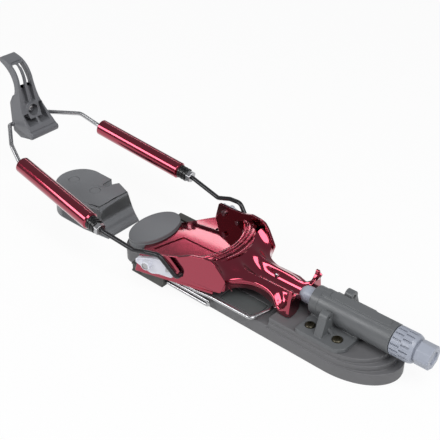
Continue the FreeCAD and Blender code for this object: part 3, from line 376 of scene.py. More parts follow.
def surface(name, tone, metallic, rough, grain, depth, shade=0.08, stretch=(1, 1, 1), spread=0.06, **sockets):
    """A finish from its colour, gloss and grain: grain size and depth in millimetres."""
    existing = bpy.data.materials.get(name)
    if existing:
        return existing
    material = bpy.data.materials.new(name)
    material.use_nodes = True
    tree = material.node_tree
    tree.nodes.clear()
    coords = add(tree, "ShaderNodeTexCoord").outputs["Object"]
    grain_place = add(tree, "ShaderNodeMapping", {"Scale": stretch}, {"Vector": coords})
    fine = add(
        tree, "ShaderNodeTexNoise", {"Scale": 1 / (grain * MM), "Detail": 3.0, "Roughness": 0.6},
        {"Vector": grain_place.outputs["Vector"]},
    )
    # broad, faint patches where hands and boots have polished or soiled the surface
    patch = add(
        tree, "ShaderNodeTexNoise", {"Scale": 1 / (14 * MM), "Detail": 4.0, "Roughness": 0.65},
        {"Vector": coords},
    )
    dark = tuple(channel * (1 - shade) for channel in tone) + (1,)
    light = tuple(min(1, channel * (1 + shade)) for channel in tone) + (1,)
    mixed = add(
        tree, "ShaderNodeMixRGB", {"Color1": dark, "Color2": light}, {"Fac": patch.outputs["Fac"]}
    )
    gloss = add(
        tree, "ShaderNodeMapRange",
        {"From Min": 0.3, "From Max": 0.7, "To Min": max(0.02, rough - spread), "To Max": rough + spread},
        {"Value": patch.outputs["Fac"]},
    )
    relief = add(
        tree, "ShaderNodeBump", {"Strength": 1.0, "Distance": depth * MM}, {"Height": fine.outputs["Fac"]}
    )
    shader = add(
        tree, "ShaderNodeBsdfPrincipled", {"Metallic": metallic, **sockets},
        {"Base Color": mixed.outputs["Color"], "Roughness": gloss.outputs["Result"], "Normal": relief.outputs["Normal"]},
    )
    add(tree, "ShaderNodeOutputMaterial", links={"Surface": shader.outputs["BSDF"]})
    return material


def colours():
    return bpy.context.scene.binding_colours


def sizes():
    return bpy.context.scene.binding_sizes


def size(name):
    """One of the panel's sizes, in millimetres."""
    return getattr(sizes(), name) / MM


def finish(name):
    """The finish of that name, made the first time it is asked for."""
    tone = colours()
    if name == "anodised_aluminium_red":
        # polished aluminium dyed red: a coloured metal mirror under its clear sealed oxide layer
        return surface(
            name, tone.red, 1.0, 0.13, 4.0, 0.0, shade=0.03, spread=0.02,
            **{"Coat Weight": 1.0, "Coat Roughness": 0.05},
        )
    if name == "glass_filled_nylon_base":
        # moulded nylon with glass fibre: a fine spark-eroded grain, drawn at 0.5 mm so that it shows
        return surface(name, tone.base, 0.0, 0.48, 0.5, 0.03, IOR=1.53)
    if name == "smooth_acetal_pad":
        # a smooth moulded top with a soft sheen and hardly any grain
        return surface(name, tone.pad, 0.0, 0.42, 0.6, 0.012, shade=0.04, IOR=1.48)
    if name == "satin_cast_housing":
        # an enamelled casting: satin, with slight orange peel
        return surface(name, tone.housing, 0.0, 0.36, 0.8, 0.022, shade=0.06, IOR=1.5)
    if name == "glass_filled_nylon_lever":
        # the same moulded nylon, rubbed a little smoother by gloves
        return surface(name, tone.lever, 0.0, 0.42, 0.45, 0.028, shade=0.1, IOR=1.53)
    if name == "dark_nylon_rail":
        # dark moulded nylon with a matt grain
        return surface(name, tone.rails, 0.0, 0.5, 0.5, 0.03, IOR=1.53)
    if name == "light_acetal_knob":
        # pale turned acetal: faint tool marks round the axis, waxy gloss
        return surface(name, tone.knob, 0.0, 0.33, 0.7, 0.012, shade=0.05, stretch=(3, 0.5, 0.5), IOR=1.48)
    if name == "bead_blasted_casting":
        # bright bead-blasted zinc casting: a sparkling, almost white metal
        return surface(name, tone.casting, 0.2, 0.36, 0.4, 0.0, shade=0.02)
    if name == "polished_stainless_steel":
        # drawn stainless wire and polished nuts: sharp highlights
        return surface(name, tone.steel, 1.0, 0.28, 0.5, 0.0, shade=0.05, spread=0.03)
    if name == "black_oxide_steel":
        # blackened steel rod under oil: dark, with a crisp highlight
        return surface(name, tone.black, 0.7, 0.28, 0.6, 0.0, shade=0.2, spread=0.03)
    if name == "spring_steel":
        # oiled spring wire: a dark, satin metal
        return surface(name, linear("#6D6D70"), 1.0, 0.32, 0.5, 0.008, shade=0.15)
    if name == "zinc_flake_screw":
        # dark yellowish zinc plating
        return surface(name, linear("#4A463A"), 0.8, 0.36, 0.4, 0.01, shade=0.25)
    if name == "turned_brass":
        # turned brass with fine tool marks
        return surface(name, linear("#B08D4A"), 1.0, 0.28, 0.5, 0.01, stretch=(4, 0.5, 0.5))
    if name == "black_acetal_cap":
        # black moulded end caps with a fair gloss
        return surface(name, linear("#151516"), 0.0, 0.25, 0.5, 0.01, shade=0.3, IOR=1.48)
    if name == "rubber_panel_painted_sheen":
        # a dark, slightly glossy rubber sheet in the deck's recess; the black rubber is coloured mid-grey, a painted
        # sheen
        return surface(name, linear("#565A5A"), 0.0, 0.32, 0.8, 0.006, shade=0.15, IOR=1.5)
    raise ValueError(f"there is no finish named {name}")


# ------------------------------------------------------------------ base and pads


def base_plan(side_inset, nose_inset, z_low, z_high):
    """The base's rounded outline as a slab, drawn in at the sides and at the nose."""
    box_low, box_high = (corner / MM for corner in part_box("base_plate"))
    nose_centre, tail_centre = 90.0, -119.0
    nose_reach = box_high.x - nose_centre - nose_inset
    tail_reach = tail_centre - box_low.x - side_inset
    half_width = box_high.y - side_inset
    segments = 128
    bm = bmesh.new()
    turn = Matrix.Rotation(math.pi / segments, 4, "Z")
    ring = bmesh.ops.create_circle(
        bm, cap_ends=True, segments=segments, radius=1, matrix=Matrix.Translation((0, 0, z_low)) @ turn
    )
    ahead = [vert for vert in ring["verts"] if vert.co.x > 0]
    behind = [vert for vert in ring["verts"] if vert.co.x < 0]
    bmesh.ops.scale(bm, verts=ahead, vec=(nose_reach, half_width, 1))
    bmesh.ops.translate(bm, verts=ahead, vec=(nose_centre, 0, 0))
    bmesh.ops.scale(bm, verts=behind, vec=(tail_reach, half_width, 1))
    bmesh.ops.translate(bm, verts=behind, vec=(tail_centre, 0, 0))
    swept = bmesh.ops.extrude_face_region(bm, geom=bm.faces[:])
    moved = [item for item in swept["geom"] if isinstance(item, bmesh.types.BMVert)]
    bmesh.ops.translate(bm, verts=moved, vec=(0, 0, z_high - z_low))
    return outward(bm)


class BINDING_OT_base(bpy.types.Operator):
    """Build the stepped base plate and the dark panel let into its deck"""

    bl_idname = "binding.build_base"
    bl_label = "Base"

    def execute(self, context):
        deck_low, deck_high, deck_rear = 13.5, 20.5, 35.0
        low_step, high_step, overlap = 11.0, 16.0, 0.01
        ahead = ((deck_rear, -60, 0), (200, 60, 60))
        layers = (
            (0, 0, low_step - overlap, deck_low, ((-200, -60, 0), (deck_rear, 60, 60))),
            (1.2, 5.8, low_step - overlap, high_step, ahead),
            (2.4, 11.0, high_step - overlap, deck_high, ahead),
        )
        shape = base_plan(0, 0, 0, low_step)
        for side_inset, nose_inset, low, high, part in layers:
            layer = combined(base_plan(side_inset, nose_inset, low, high), [block(*part)], "INTERSECT")
            shape = combined(shape, [layer], "UNION")
        cuts = []
        for x in (-5.0, -55.0):
            for side in (-1, 1):
                cuts.append(drum((x, side * 14.0, -1), Z_AXIS, 2.75, 30))
        for x in (67.0, 92.0):
            for side in (-1, 1):
                cuts.append(drum((x, side * 18.5, -1), Z_AXIS, 2.55, 30))
        depth = size("panel_depth")
        for side in (-1, 1):
            recess = [(-17, side * 10.5), (21, side * 10.5), (21, side * 29), (-17, side * 29)]
            cuts.append(prism([(x, y, deck_low - depth) for x, y in recess], (0, 0, 10), corner=2.5))
        shape = rounded_edges(tidied(combined(shape, cuts, "DIFFERENCE")), size("edge") * 0.75)
        piece("moulded_base", shape, "base", finish("glass_filled_nylon_base"), ["base_plate"])
        panels = []
        for side in (-1, 1):
            outline = [(-16.4, side * 11.1), (20.4, side * 11.1), (20.4, side * 28.4), (-16.4, side * 28.4)]
            bottom = deck_low - depth
            panels.append(prism([(x, y, bottom) for x, y in outline], (0, 0, depth - 0.4), corner=2.2))
        panels = rounded_edges(gathered(panels), 0.3)
        piece("deck_panels", panels, "base", finish("rubber_panel_painted_sheen"))
        return {"FINISHED"}


class BINDING_OT_boot_pad(bpy.types.Operator):
    """Build the smooth oval pad behind the toe plate"""

    bl_idname = "binding.build_boot_pad"
    bl_label = "Boot pad"

    def execute(self, context):
        low, high = (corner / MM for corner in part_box("rear_pad"))
        bottom, top = low.z, high.z
        profile = softened(
            [(0, bottom), (1, bottom), (1, top - 3.2), (0.985, top - 3.0), (0.985, top - 2.6),
             (1, top - 2.4), (1, top), (0, top)], 0.05,
        )
        bm = turned(profile, (0, 0, 0), Z_AXIS, steps=112)
        centre = (low + high) / 2
        bmesh.ops.scale(bm, verts=bm.verts, vec=((high.x - low.x) / 2, (high.y - low.y) / 2, 1))
        bmesh.ops.translate(bm, verts=bm.verts, vec=(centre.x, centre.y, 0))
        bm = rounded_edges(bm, 0.8, segments=4, angle=60)
        piece("boot_pad", bm, "base", finish("smooth_acetal_pad"), ["rear_pad"])
        return {"FINISHED"}


# ------------------------------------------------------------------ release housing


def star_recess(centre, radius, depth):
    """A six-lobed driver recess, open upwards."""
    points = []
    for lobe in range(24):
        angle = math.tau * lobe / 24
        reach = radius * (1 - 0.16 * (1 - math.cos(6 * angle)) / 2 * 1.6)
        points.append((centre[0] + reach * math.cos(angle), centre[1] + reach * math.sin(angle), centre[2] - depth))
    return prism(points, (0, 0, depth + 2))


class BINDING_OT_housing(bpy.types.Operator):
    """Build the release housing with its barrel, foot and lugs, and its four screws"""

    bl_idname = "binding.build_housing"
    bl_label = "Release housing"

    def execute(self, context):
        axis_z, radius = BARREL_AXIS_Z, 12.0
        rear, front, collar = 58.5, 130.0, 7.5
        foot_rear, foot_front, foot_half = 60.0, 103.0, 29.5
        deck, foot_top = 20.5, 24.5
        barrel = turned(
            softened([(0, 0), (radius - 0.5, 0), (radius - 0.5, collar), (radius, collar + 0.3),
                      (radius, front - rear), (0, front - rear)], 0.7),
            (rear, 0, axis_z), X_AXIS, steps=96,
        )
        crown = [(rear + collar, -5.5), (front - 1.5, -5.5), (front - 1.5, 5.5), (rear + collar, 5.5)]
        crown = rounded_edges(prism([(x, y, axis_z) for x, y in crown], (0, 0, radius - 0.35), corner=1.5), 0.9)
        label = [(rear + collar + 6, -3.7), (front - 5, -3.7), (front - 5, 3.7), (rear + collar + 6, 3.7)]
        label = rounded_edges(prism([(x, y, axis_z) for x, y in label], (0, 0, radius + 0.3), corner=3.2), 0.25)
        foot = [(foot_rear, -foot_half), (foot_front - 6, -foot_half), (foot_front, -foot_half + 6),
                (foot_front, foot_half - 6), (foot_front - 6, foot_half), (foot_rear, foot_half)]
        foot = prism([(x, y, deck) for x, y in foot], (0, 0, foot_top - deck), corner=1.6)
        saddle = [(-9.0, deck), (-7.0, axis_z), (7.0, axis_z), (9.0, deck)]
        saddle = prism([(foot_rear, y, z) for y, z in saddle], (foot_front - foot_rear, 0, 0))
        parts = [crown, label, foot, saddle]
        cuts = []
        lug_rear, lug_front = 75.5, 82.5
        for side in (-1, 1):
            centre, half, crown_z = side * 17.0, 4.8, 38.2
            outline = []
            for number in range(17):
                angle = math.pi * number / 16
                outline.append((centre + half * math.cos(angle), crown_z + half * math.sin(angle)))
            inner, outer = centre - side * half, centre + side * half
            flare = [(outer, 37.0), (side * 26.5, foot_top), (side * 27, deck)]
            straight = [(inner, deck)]
            outline += straight + flare[::-1] if side > 0 else flare + straight
            parts.append(prism([(lug_rear, y, z) for y, z in outline], (lug_front - lug_rear, 0, 0)))
            web = [(side * 6, deck), (centre, deck), (centre, 30.5), (side * 8, 34.0)]
            parts.append(prism([(lug_rear + 0.8, y, z) for y, z in web], (lug_front - lug_rear - 1.6, 0, 0)))
            gusset = [(lug_front - 1, foot_top - 1), (lug_front + 5.5, foot_top - 1), (lug_front - 1, foot_top + 5.5)]
            parts.append(prism([(x, centre - 1.2, z) for x, z in gusset], (0, 2.4, 0)))
            cuts.append(drum((lug_rear - 1, centre, crown_z), X_AXIS, 1.6, 10, 32))
            for x in (67.0, 92.0):
                cuts.append(drum((x, side * 18.5, 15), Z_AXIS, 2.55, 40, 32))
                cuts.append(drum((x, side * 18.5, foot_top - 1.2), Z_AXIS, 4.45, 2.4, 40))
        cuts.append(drum((rear - 1, 0, axis_z), X_AXIS, 7.08, 60, 64))
        cuts.append(drum((77.0, 0, axis_z), X_AXIS, 9.2, 60, 64))
        shape = combined(combined(barrel, parts, "UNION"), cuts, "DIFFERENCE")
        shape = rounded_edges(tidied(shape), 0.45, segments=3, angle=38)
        piece("cast_housing", shape, "base", finish("satin_cast_housing"), ["release_housing"])

        heads = []
        for x in (67.0, 92.0):
            for side in (-1, 1):
                y, seat = side * 18.5, foot_top - 1.2
                head = turned(
                    softened([(0, 0), (4.3, 0), (4.3, 1.1), (3.5, 2.1), (2.2, 2.4), (0, 2.4)], 0.5),
                    (x, y, seat), Z_AXIS, steps=48,
                )
                head = combined(head, [drum((x, y, 0.5), Z_AXIS, 2.5, seat, 32)], "UNION")
                heads.append(combined(head, [star_recess((x, y, seat + 2.4), 2.8, 1.9)], "DIFFERENCE"))
        piece("housing_screw_set", gathered(heads), "base", finish("zinc_flake_screw"),
              ["housing_screws"])
        return {"FINISHED"}


class BINDING_OT_knob(bpy.types.Operator):
    """Build the ball-nosed plunger, the grooved adjuster knob and its eight-sided cap"""

    bl_idname = "binding.build_knob"
    bl_label = "Plunger and knob"

    def execute(self, context):
        nose = 51.0
        arc = [(7 * math.sin(a), -7 * math.cos(a)) for a in (math.pi / 2 * n / 20 for n in range(21))]
        profile = arc + [(7, 27), (7, 26.3), (8.8, 26.3), (8.8, 30.3), (2.8, 30.3), (2.8, 8), (0, 8)]
        profile[21] = (7, 26.29)
        shape = turned(profile, (nose, 0, BARREL_AXIS_Z), X_AXIS, steps=72)
        piece("ball_plunger", shape, "plunger", finish("light_acetal_knob"), ["plunger"], sharp=30)

        low, high = (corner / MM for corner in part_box("adjuster_knob"))
        radius, span = high.z - BARREL_AXIS_Z, high.x - low.x
        profile = softened([(2.5, 0), (radius - 0.6, 0), (radius, 0.8), (radius, span - 3.2),
                            (radius - 0.9, span - 0.8), (radius - 1.6, span), (2.5, span)], 0.5)
        profile.append(profile[0])
        shape = turned(profile, (low.x, 0, BARREL_AXIS_Z), X_AXIS, steps=128)
        depth, half = size("knob_groove"), 0.5
        rows = ((0.06, 0.44, 0), (0.47, 0.85, 0.5))
        count = 16
        grooves = []
        for start, end, shift in rows:
            for number in range(count):
                cutter = block((low.x + start * span, -half, radius - depth), (low.x + end * span, half, radius + 1))
                angle = math.tau * (number + shift) / count
                bmesh.ops.rotate(cutter, verts=cutter.verts, cent=(0, 0, 0), matrix=Matrix.Rotation(angle, 3, "X"))
                bmesh.ops.translate(cutter, verts=cutter.verts, vec=(0, 0, BARREL_AXIS_Z))
                grooves.append(cutter)
        shape = combined(shape, [gathered(grooves)], "DIFFERENCE")
        shape = rounded_edges(tidied(shape, 0.1), 0.16, segments=2, angle=40)
        piece("grip_knob", shape, "knob", finish("light_acetal_knob"), ["adjuster_knob"])

        low, high = (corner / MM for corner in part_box("adjuster_cap"))
        circum = 9.8
        corners = [(circum * math.cos(a), circum * math.sin(a)) for a in (math.tau * n / 8 for n in range(8))]
        neck = drum((low.x, 0, BARREL_AXIS_Z), X_AXIS, 8.2, 2.2, 48)
        body = prism([(low.x + 1.2, y, BARREL_AXIS_Z + z) for y, z in corners], (high.x - low.x - 1.2, 0, 0))
        body = rounded_edges(body, 0.7, segments=4, angle=30)
        centre_dimple = drum((high.x - 1.2, 0, BARREL_AXIS_Z), X_AXIS, 5.2, 3, 48)
        bore = drum((low.x - 1, 0, BARREL_AXIS_Z), X_AXIS, 2.52, 1 + (high.x - low.x) / 2, 32)
        shape = combined(combined(body, [neck], "UNION"), [centre_dimple, bore], "DIFFERENCE")
        shape = rounded_edges(tidied(shape, 0.1), 0.25, segments=2, angle=60)
        piece("eight_sided_cap", shape, "knob", finish("light_acetal_knob"), ["adjuster_cap"])
        return {"FINISHED"}


# ------------------------------------------------------------------ toe plate


def floor_height(x):
    """The top of the toe plate's sloping floor at a distance along the ski."""
    return 19.5 + (x + 100) / 82 * 2.5


def ear_y(x):
    """The outer face of the left ear at a distance along the ski."""
    return 51.5 + (x + 85) * (36 - 51.5) / 65


EAR_OUT = Vector((15.5, 65, 0)).normalized()


def on_ear(x, z):
    return Vector((x, ear_y(x), z))


def lofted(rows):
    """A sheet through rows of points, each row extruded from the one before."""
    bm = bmesh.new()
    verts = [bm.verts.new(point) for point in rows[0]]
    edges = [bm.edges.new(pair) for pair in zip(verts, verts[1:])]
    order = {vert: number for number, vert in enumerate(verts)}
    for row in rows[1:]:
        before = {vert: number for vert, number in order.items()}
        grown = bmesh.ops.extrude_edge_only(bm, edges=edges)["geom"]
        edges = [item for item in grown if isinstance(item, bmesh.types.BMEdge)]
        order = {}
        for vert in (item for item in grown if isinstance(item, bmesh.types.BMVert)):
            source = next(edge.other_vert(vert) for edge in vert.link_edges if edge.other_vert(vert) in before)
            order[vert] = before[source]
        for vert, number in order.items():
            vert.co = Vector(row[number])
    return bm


# The hood, neck and yoke of one side, as rows from the toe bail forwards. In each row the
# points go from the centreline up the channel wall and over the ridge to the rim and skirt.
HOOD_ROWS = (
    ((-19.5, 0, 44.4), (-19.6, 4.8, 44.4), (-19.9, 9, 44.4), (-20.8, 17, 44.4), (-24, 27, 45.2),
     (-21, 34, 50.6), (-20, 34, 38), (-20, 34, 24)),
    ((-14.5, 0, 40.3), (-14.5, 4.8, 40.5), (-15, 9.3, 41.8), (-16, 17, 40.2), (-18.5, 26, 39.8),
     (-14.6, 33.2, 46), (-14, 33, 36), (-14, 33, 23.8)),
    ((-8, 0, 34.6), (-8, 5, 35), (-9, 9.6, 39.8), (-10, 16.5, 37), (-13.5, 24.5, 36),
     (-8.4, 32.4, 37.2), (-8.2, 32.4, 30), (-9.6, 32.6, 23.8)),
    ((-1, 0, 30.4), (-1, 5.2, 30.6), (-3, 9.4, 38.5), (-4.5, 14.5, 35.8), (-8.5, 22, 34.8),
     (-9, 28.6, 34.6), (-8.4, 28.6, 30), (-9, 29.4, 24)),
    ((5, 0, 28.7), (5, 5.4, 28.7), (3, 9, 37.6), (1.5, 12.6, 35.6), (-2, 17.5, 34.5),
     (-3.6, 20.9, 34.1), (-3.8, 21.2, 29), (-6.6, 21.6, 24)),
    ((12, 0, 28.5), (12, 5.4, 28.5), (10, 8.7, 37.3), (9, 11, 35.9), (7, 14.2, 34.4),
     (4.4, 16.9, 33.8), (4, 16.6, 29), (1.2, 15.6, 24)),
    ((19, 0, 28.5), (19, 5.4, 28.5), (18, 8.6, 37.3), (17.5, 10.6, 35.9), (16, 13, 34.3),
     (14.1, 14.9, 33.6), (14, 14.6, 29), (11, 13.6, 24)),
    ((25, 0, 28.5), (25, 5.4, 28.5), (25, 8.7, 37.3), (25, 10.9, 35.9), (24.5, 13.6, 34.5),
     (24, 16.4, 33.8), (24, 16, 28.5), (23, 15.2, 23.4)),
    ((31, 0, 28.5), (31, 5.4, 28.5), (31, 8.8, 37.3), (31, 11.2, 35), (31, 14.5, 33),
     (30.5, 18.4, 32.4), (30.5, 18.6, 27.5), (30.5, 18, 22.6)),
    ((35, 0, 28.5), (35, 5.4, 28.5), (35, 8.8, 37.4), (35, 11.5, 33), (35, 15, 28.8),
     (34, 20.4, 28.2), (34.2, 20.6, 25), (34.6, 20, 21.4)),
    ((39, 0, 28.5), (39, 5.4, 28.5), (38.6, 9, 37.8), (39, 12, 32.5), (39, 15.5, 26.6),
     (38.6, 21.4, 26), (38.6, 21.6, 23.4), (38.8, 20.8, 20.9)),
    ((42, 0, 28.5), (42, 5.4, 28.5), (42, 9.4, 38.4), (42.5, 12.5, 35), (43, 16, 30),
     (43, 21.6, 29.5), (43.2, 21.8, 25), (43, 21, 20.9)),
    ((44, 0, 28.5), (44, 5.6, 28.6), (45, 10, 39), (46, 13.5, 39.6), (46.5, 17, 39.5),
     (46.5, 20.2, 38.5), (46.8, 21.6, 30), (46.5, 21, 21.6)),
    ((45.4, 0, 28.6), (45.4, 5.8, 28.8), (46.6, 10.4, 39.6), (48.2, 14.5, 42.6), (49.2, 17.9, 46),
     (48.4, 19.4, 42.6), (48.4, 21.2, 32), (48.3, 20.6, 22.6)),
)


def hood_shell():
    """The formed sheet of hood, neck and yoke, both sides, with its wall thickness."""
    bm = lofted(HOOD_ROWS)
    other = bm.copy()
    bmesh.ops.transform(other, matrix=Matrix.Diagonal((1, -1, 1, 1)), verts=other.verts)
    bm = gathered([bm, other])
    bmesh.ops.remove_doubles(bm, verts=bm.verts, dist=0.01)
    bmesh.ops.recalc_face_normals(bm, faces=bm.faces)
    middle = min(bm.faces, key=lambda face: (face.calc_center_median() - Vector((18, 0, 28))).length)
    if middle.normal.z < 0:
        bmesh.ops.reverse_faces(bm, faces=bm.faces)
    item = as_object(bm)
    smooth = item.modifiers.new("smooth", "SUBSURF")
    smooth.levels = 2
    smooth.render_levels = 2
    wall = item.modifiers.new("wall", "SOLIDIFY")
    wall.thickness = size("sheet")
    wall.offset = -1
    wall.use_even_offset = True
    return rounded_edges(settled(item), 0.4, segments=2, angle=50)


def toe_bail():
    """The ribbed bail across the front of the boot's toe."""
    groove = size("rib_depth")
    top, underside = 44.9, 42.4
    section = [(0, underside + 0.5), (0.03, top - 0.6), (0.1, top - 0.2), (0.26, top - 0.2), (0.31, top - groove),
               (0.37, top - groove), (0.42, top), (0.58, top), (0.63, top - groove), (0.69, top - groove),
               (0.74, top + 0.1), (0.95, top + 0.1), (1.0, top - 0.5), (1.0, underside), (0.05, underside)]
    stations = 40
    half = 35.5

    def ring(y):
        inner = -74.4 + math.sqrt(45.6 ** 2 - y * y)
        outer = -87.0 + math.sqrt(67.0 ** 2 - y * y)
        return [(inner + share * (outer - inner), y, z) for share, z in section]

    bm = bmesh.new()
    bm.faces.new([bm.verts.new(point) for point in ring(-half)])
    top_face = bm.faces[:]
    for number in range(1, stations + 1):
        y = -half + 2 * half * number / stations
        grown = bmesh.ops.extrude_face_region(bm, geom=top_face)["geom"]
        top_face = [item for item in grown if isinstance(item, bmesh.types.BMFace)]
        for vert, point in zip(top_face[0].verts, ring(y)):
            vert.co = Vector(point)
    return outward(bm)


def toe_wall():
    """The curved wall that the boot's toe meets, below the bail."""
    wall, centre_x, radius = size("sheet"), -61.0, 43.0
    bottom, top = 19.6, 44.0
    angle = math.radians(58)
    bm = bmesh.new()
    corners = [(radius, bottom), (radius + wall, bottom), (radius + wall, top), (radius, top)]
    face = bm.faces.new([bm.verts.new((centre_x + r, 0, z)) for r, z in corners])
    bmesh.ops.rotate(bm, verts=bm.verts, cent=(centre_x, 0, 0), matrix=Matrix.Rotation(-angle, 3, "Z"))
    bmesh.ops.spin(
        bm, geom=[face] + face.edges[:] + face.verts[:], cent=(centre_x, 0, 0), axis=(0, 0, 1),
        angle=2 * angle, steps=48,
    )
    return outward(bm)


def plate_floor():
    """The sloping floor, with its rectangular panel pressed in and its rear cut round the pad."""
    outline = [(-18, 36), (-84, 51), (-91, 49.5), (-99, 37.4), (-103.5, 30.3), (-108, 24)]
    points = [(x, y, floor_height(x)) for x, y in outline]
    points += [(x, -y, z) for x, y, z in reversed(points)]
    floor = prism(points, (0, 0, -size("sheet")))
    low, high = (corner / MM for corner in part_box("rear_pad"))
    pad_space = drum((0, 0, 10), Z_AXIS, 1, 30, 96)
    gap = 0.8
    bmesh.ops.scale(
        pad_space, verts=pad_space.verts, vec=((high.x - low.x) / 2 + gap, (high.y - low.y) / 2 + gap, 1)
    )
    bmesh.ops.translate(pad_space, verts=pad_space.verts, vec=((high.x + low.x) / 2, 0, 0))
    pressed = [(-99, -23), (-90.5, 7.5), (-50, 7.5), (-50, -23)]
    pressed = prism([(x, y, floor_height(x) - 0.9) for x, y in pressed], (0, 0, 5), corner=2.0)
    lightening = drum((-75.6, 36, 10), Z_AXIS, 1.3, 20, 24)
    twin = drum((-75.6, -36, 10), Z_AXIS, 1.3, 20, 24)
    floor = combined(floor, [pad_space, pressed, lightening, twin], "DIFFERENCE")
    return rounded_edges(tidied(floor, 0.2), 0.35, segments=2, angle=30)


def plate_ear():
    """The left ear, with its soft-cornered outline."""
    edge = [(-91, floor_height(-91) - 2.5), (-11.5, 22.4), (-6.8, 35.4), (-9.7, 39.9), (-15.7, 48.4), (-20.3, 52.2),
            (-26, 52.6), (-38, 51), (-49, 46), (-64, 42), (-85, 37.5)]
    bm = prism([on_ear(x, z) for x, z in edge], EAR_OUT * -size("sheet"), corner=1.6, segments=4)
    holes = []
    for x, z, radius in ((-76.0, 32.0, 1.62), (-57.5, 31.2, 1.32), (-47.0, 29.0, 2.08)):
        direction = Y_AXIS if radius > 2 else EAR_OUT
        holes.append(drum(on_ear(x, z) - direction * 8, direction, radius, 16, 32))
    bm = combined(bm, holes, "DIFFERENCE")
    return rounded_edges(tidied(bm, 0.2), 0.45, segments=3, angle=40)


def yoke_face():
    """The yoke's front wall on one side, with its upturned tip."""
    outline = [(7.6, 24.2), (12.5, 21), (19.5, 20.9), (21.9, 25), (20.9, 33), (19.3, 42), (18.7, 46.6), (16.6, 46.6),
               (15.4, 43), (12.4, 40), (9.4, 38.6), (7.2, 37.2)]
    return prism([(45.2, y, z) for y, z in outline], (3.2, 0, 0), corner=1.2, segments=4)


class BINDING_OT_toe_plate(bpy.types.Operator):
    """Build the red toe plate: floor, ears, ribbed bail, hood, neck and yoke"""

    bl_idname = "binding.build_toe_plate"
    bl_label = "Toe plate"

    def execute(self, context):
        parts = [plate_floor(), *both_sides(plate_ear()), hood_shell()]
        parts.append(rounded_edges(toe_wall(), 0.4, segments=2, angle=50))
        parts.append(rounded_edges(toe_bail(), 0.25, segments=2, angle=50))
        for face in both_sides(yoke_face()):
            parts.append(rounded_edges(face, 0.5, segments=3, angle=50))
        shape = gathered(parts)
        piece("red_toe_plate", shape, "toe_plate", finish("anodised_aluminium_red"), ["toe_plate"])
        rivets = []
        for side in (-1, 1):
            seat = Vector((15, side * 5.6, 31.5))
            direction = Vector((0, -side, 0.3)).normalized()
            profile = softened([(0, -1), (2.0, -1), (2.0, 0.5), (1.3, 0.9), (0, 1.0)], 0.3)
            rivets.append(turned(profile, seat, direction, steps=32))
        piece("neck_rivets", gathered(rivets), "toe_plate", finish("polished_stainless_steel"))
        return {"FINISHED"}


class BINDING_OT_brackets(bpy.types.Operator):
    """Build the bright cast bracket on the outside of each ear"""

    bl_idname = "binding.build_brackets"
    bl_label = "Brackets"

    def execute(self, context):
        thickness, boss_height = 3.2, 4.4
        edge = [(-88, 29.5), (-87, 34), (-80, 36.5), (-66, 40), (-62.5, 39.5), (-52, 28), (-53.5, 24.5), (-66, 24.5),
                (-73, 22.5)]
        plate = prism([on_ear(x, z) for x, z in edge], EAR_OUT * thickness, corner=1.6, segments=4)
        seat = on_ear(-76.0, 32.0)
        total = thickness + boss_height
        boss = turned(softened([(0, 0.2), (4.9, 0.2), (4.2, thickness + 1.4), (4.2, total), (0, total)], 0.7),
                      seat, EAR_OUT, steps=64)
        pad = drum(on_ear(-83.2, 32.2), EAR_OUT, 3.6, thickness + 0.7, 48)
        cuts = [
            drum(seat, EAR_OUT, 1.62, 20, 32),
            drum(seat + EAR_OUT * (total - 2.2), EAR_OUT, 3.0, 5, 48),
            drum(on_ear(-57.5, 31.2), EAR_OUT, 1.35, 20, 32),
            drum(on_ear(-57.5, 31.2) + EAR_OUT * (thickness - 0.5), EAR_OUT, 1.9, 5, 32),
            drum(on_ear(-83.2, 32.2) + EAR_OUT * thickness, EAR_OUT, 2.4, 5, 40),
        ]
        shape = combined(combined(plate, [boss, pad], "UNION"), cuts, "DIFFERENCE")
        shape = rounded_edges(tidied(shape, 0.2), 0.35, segments=3, angle=38)
        for (name, _), half in zip(SIDES, both_sides(shape)):
            piece(f"cast_bracket_{name}", half, "toe_plate", finish("bead_blasted_casting"),
                  [f"{name}_bracket"])
        return {"FINISHED"}


# ------------------------------------------------------------------ cable frame


def tube_line(side):
    """A cartridge's front end, its direction rearwards and its length."""
    front = Vector((-139.1, side * 56.0, 47.2))
    rear = Vector((-239.2, side * 48.6, 62.1))
    return front, (rear - front).normalized(), (rear - front).length


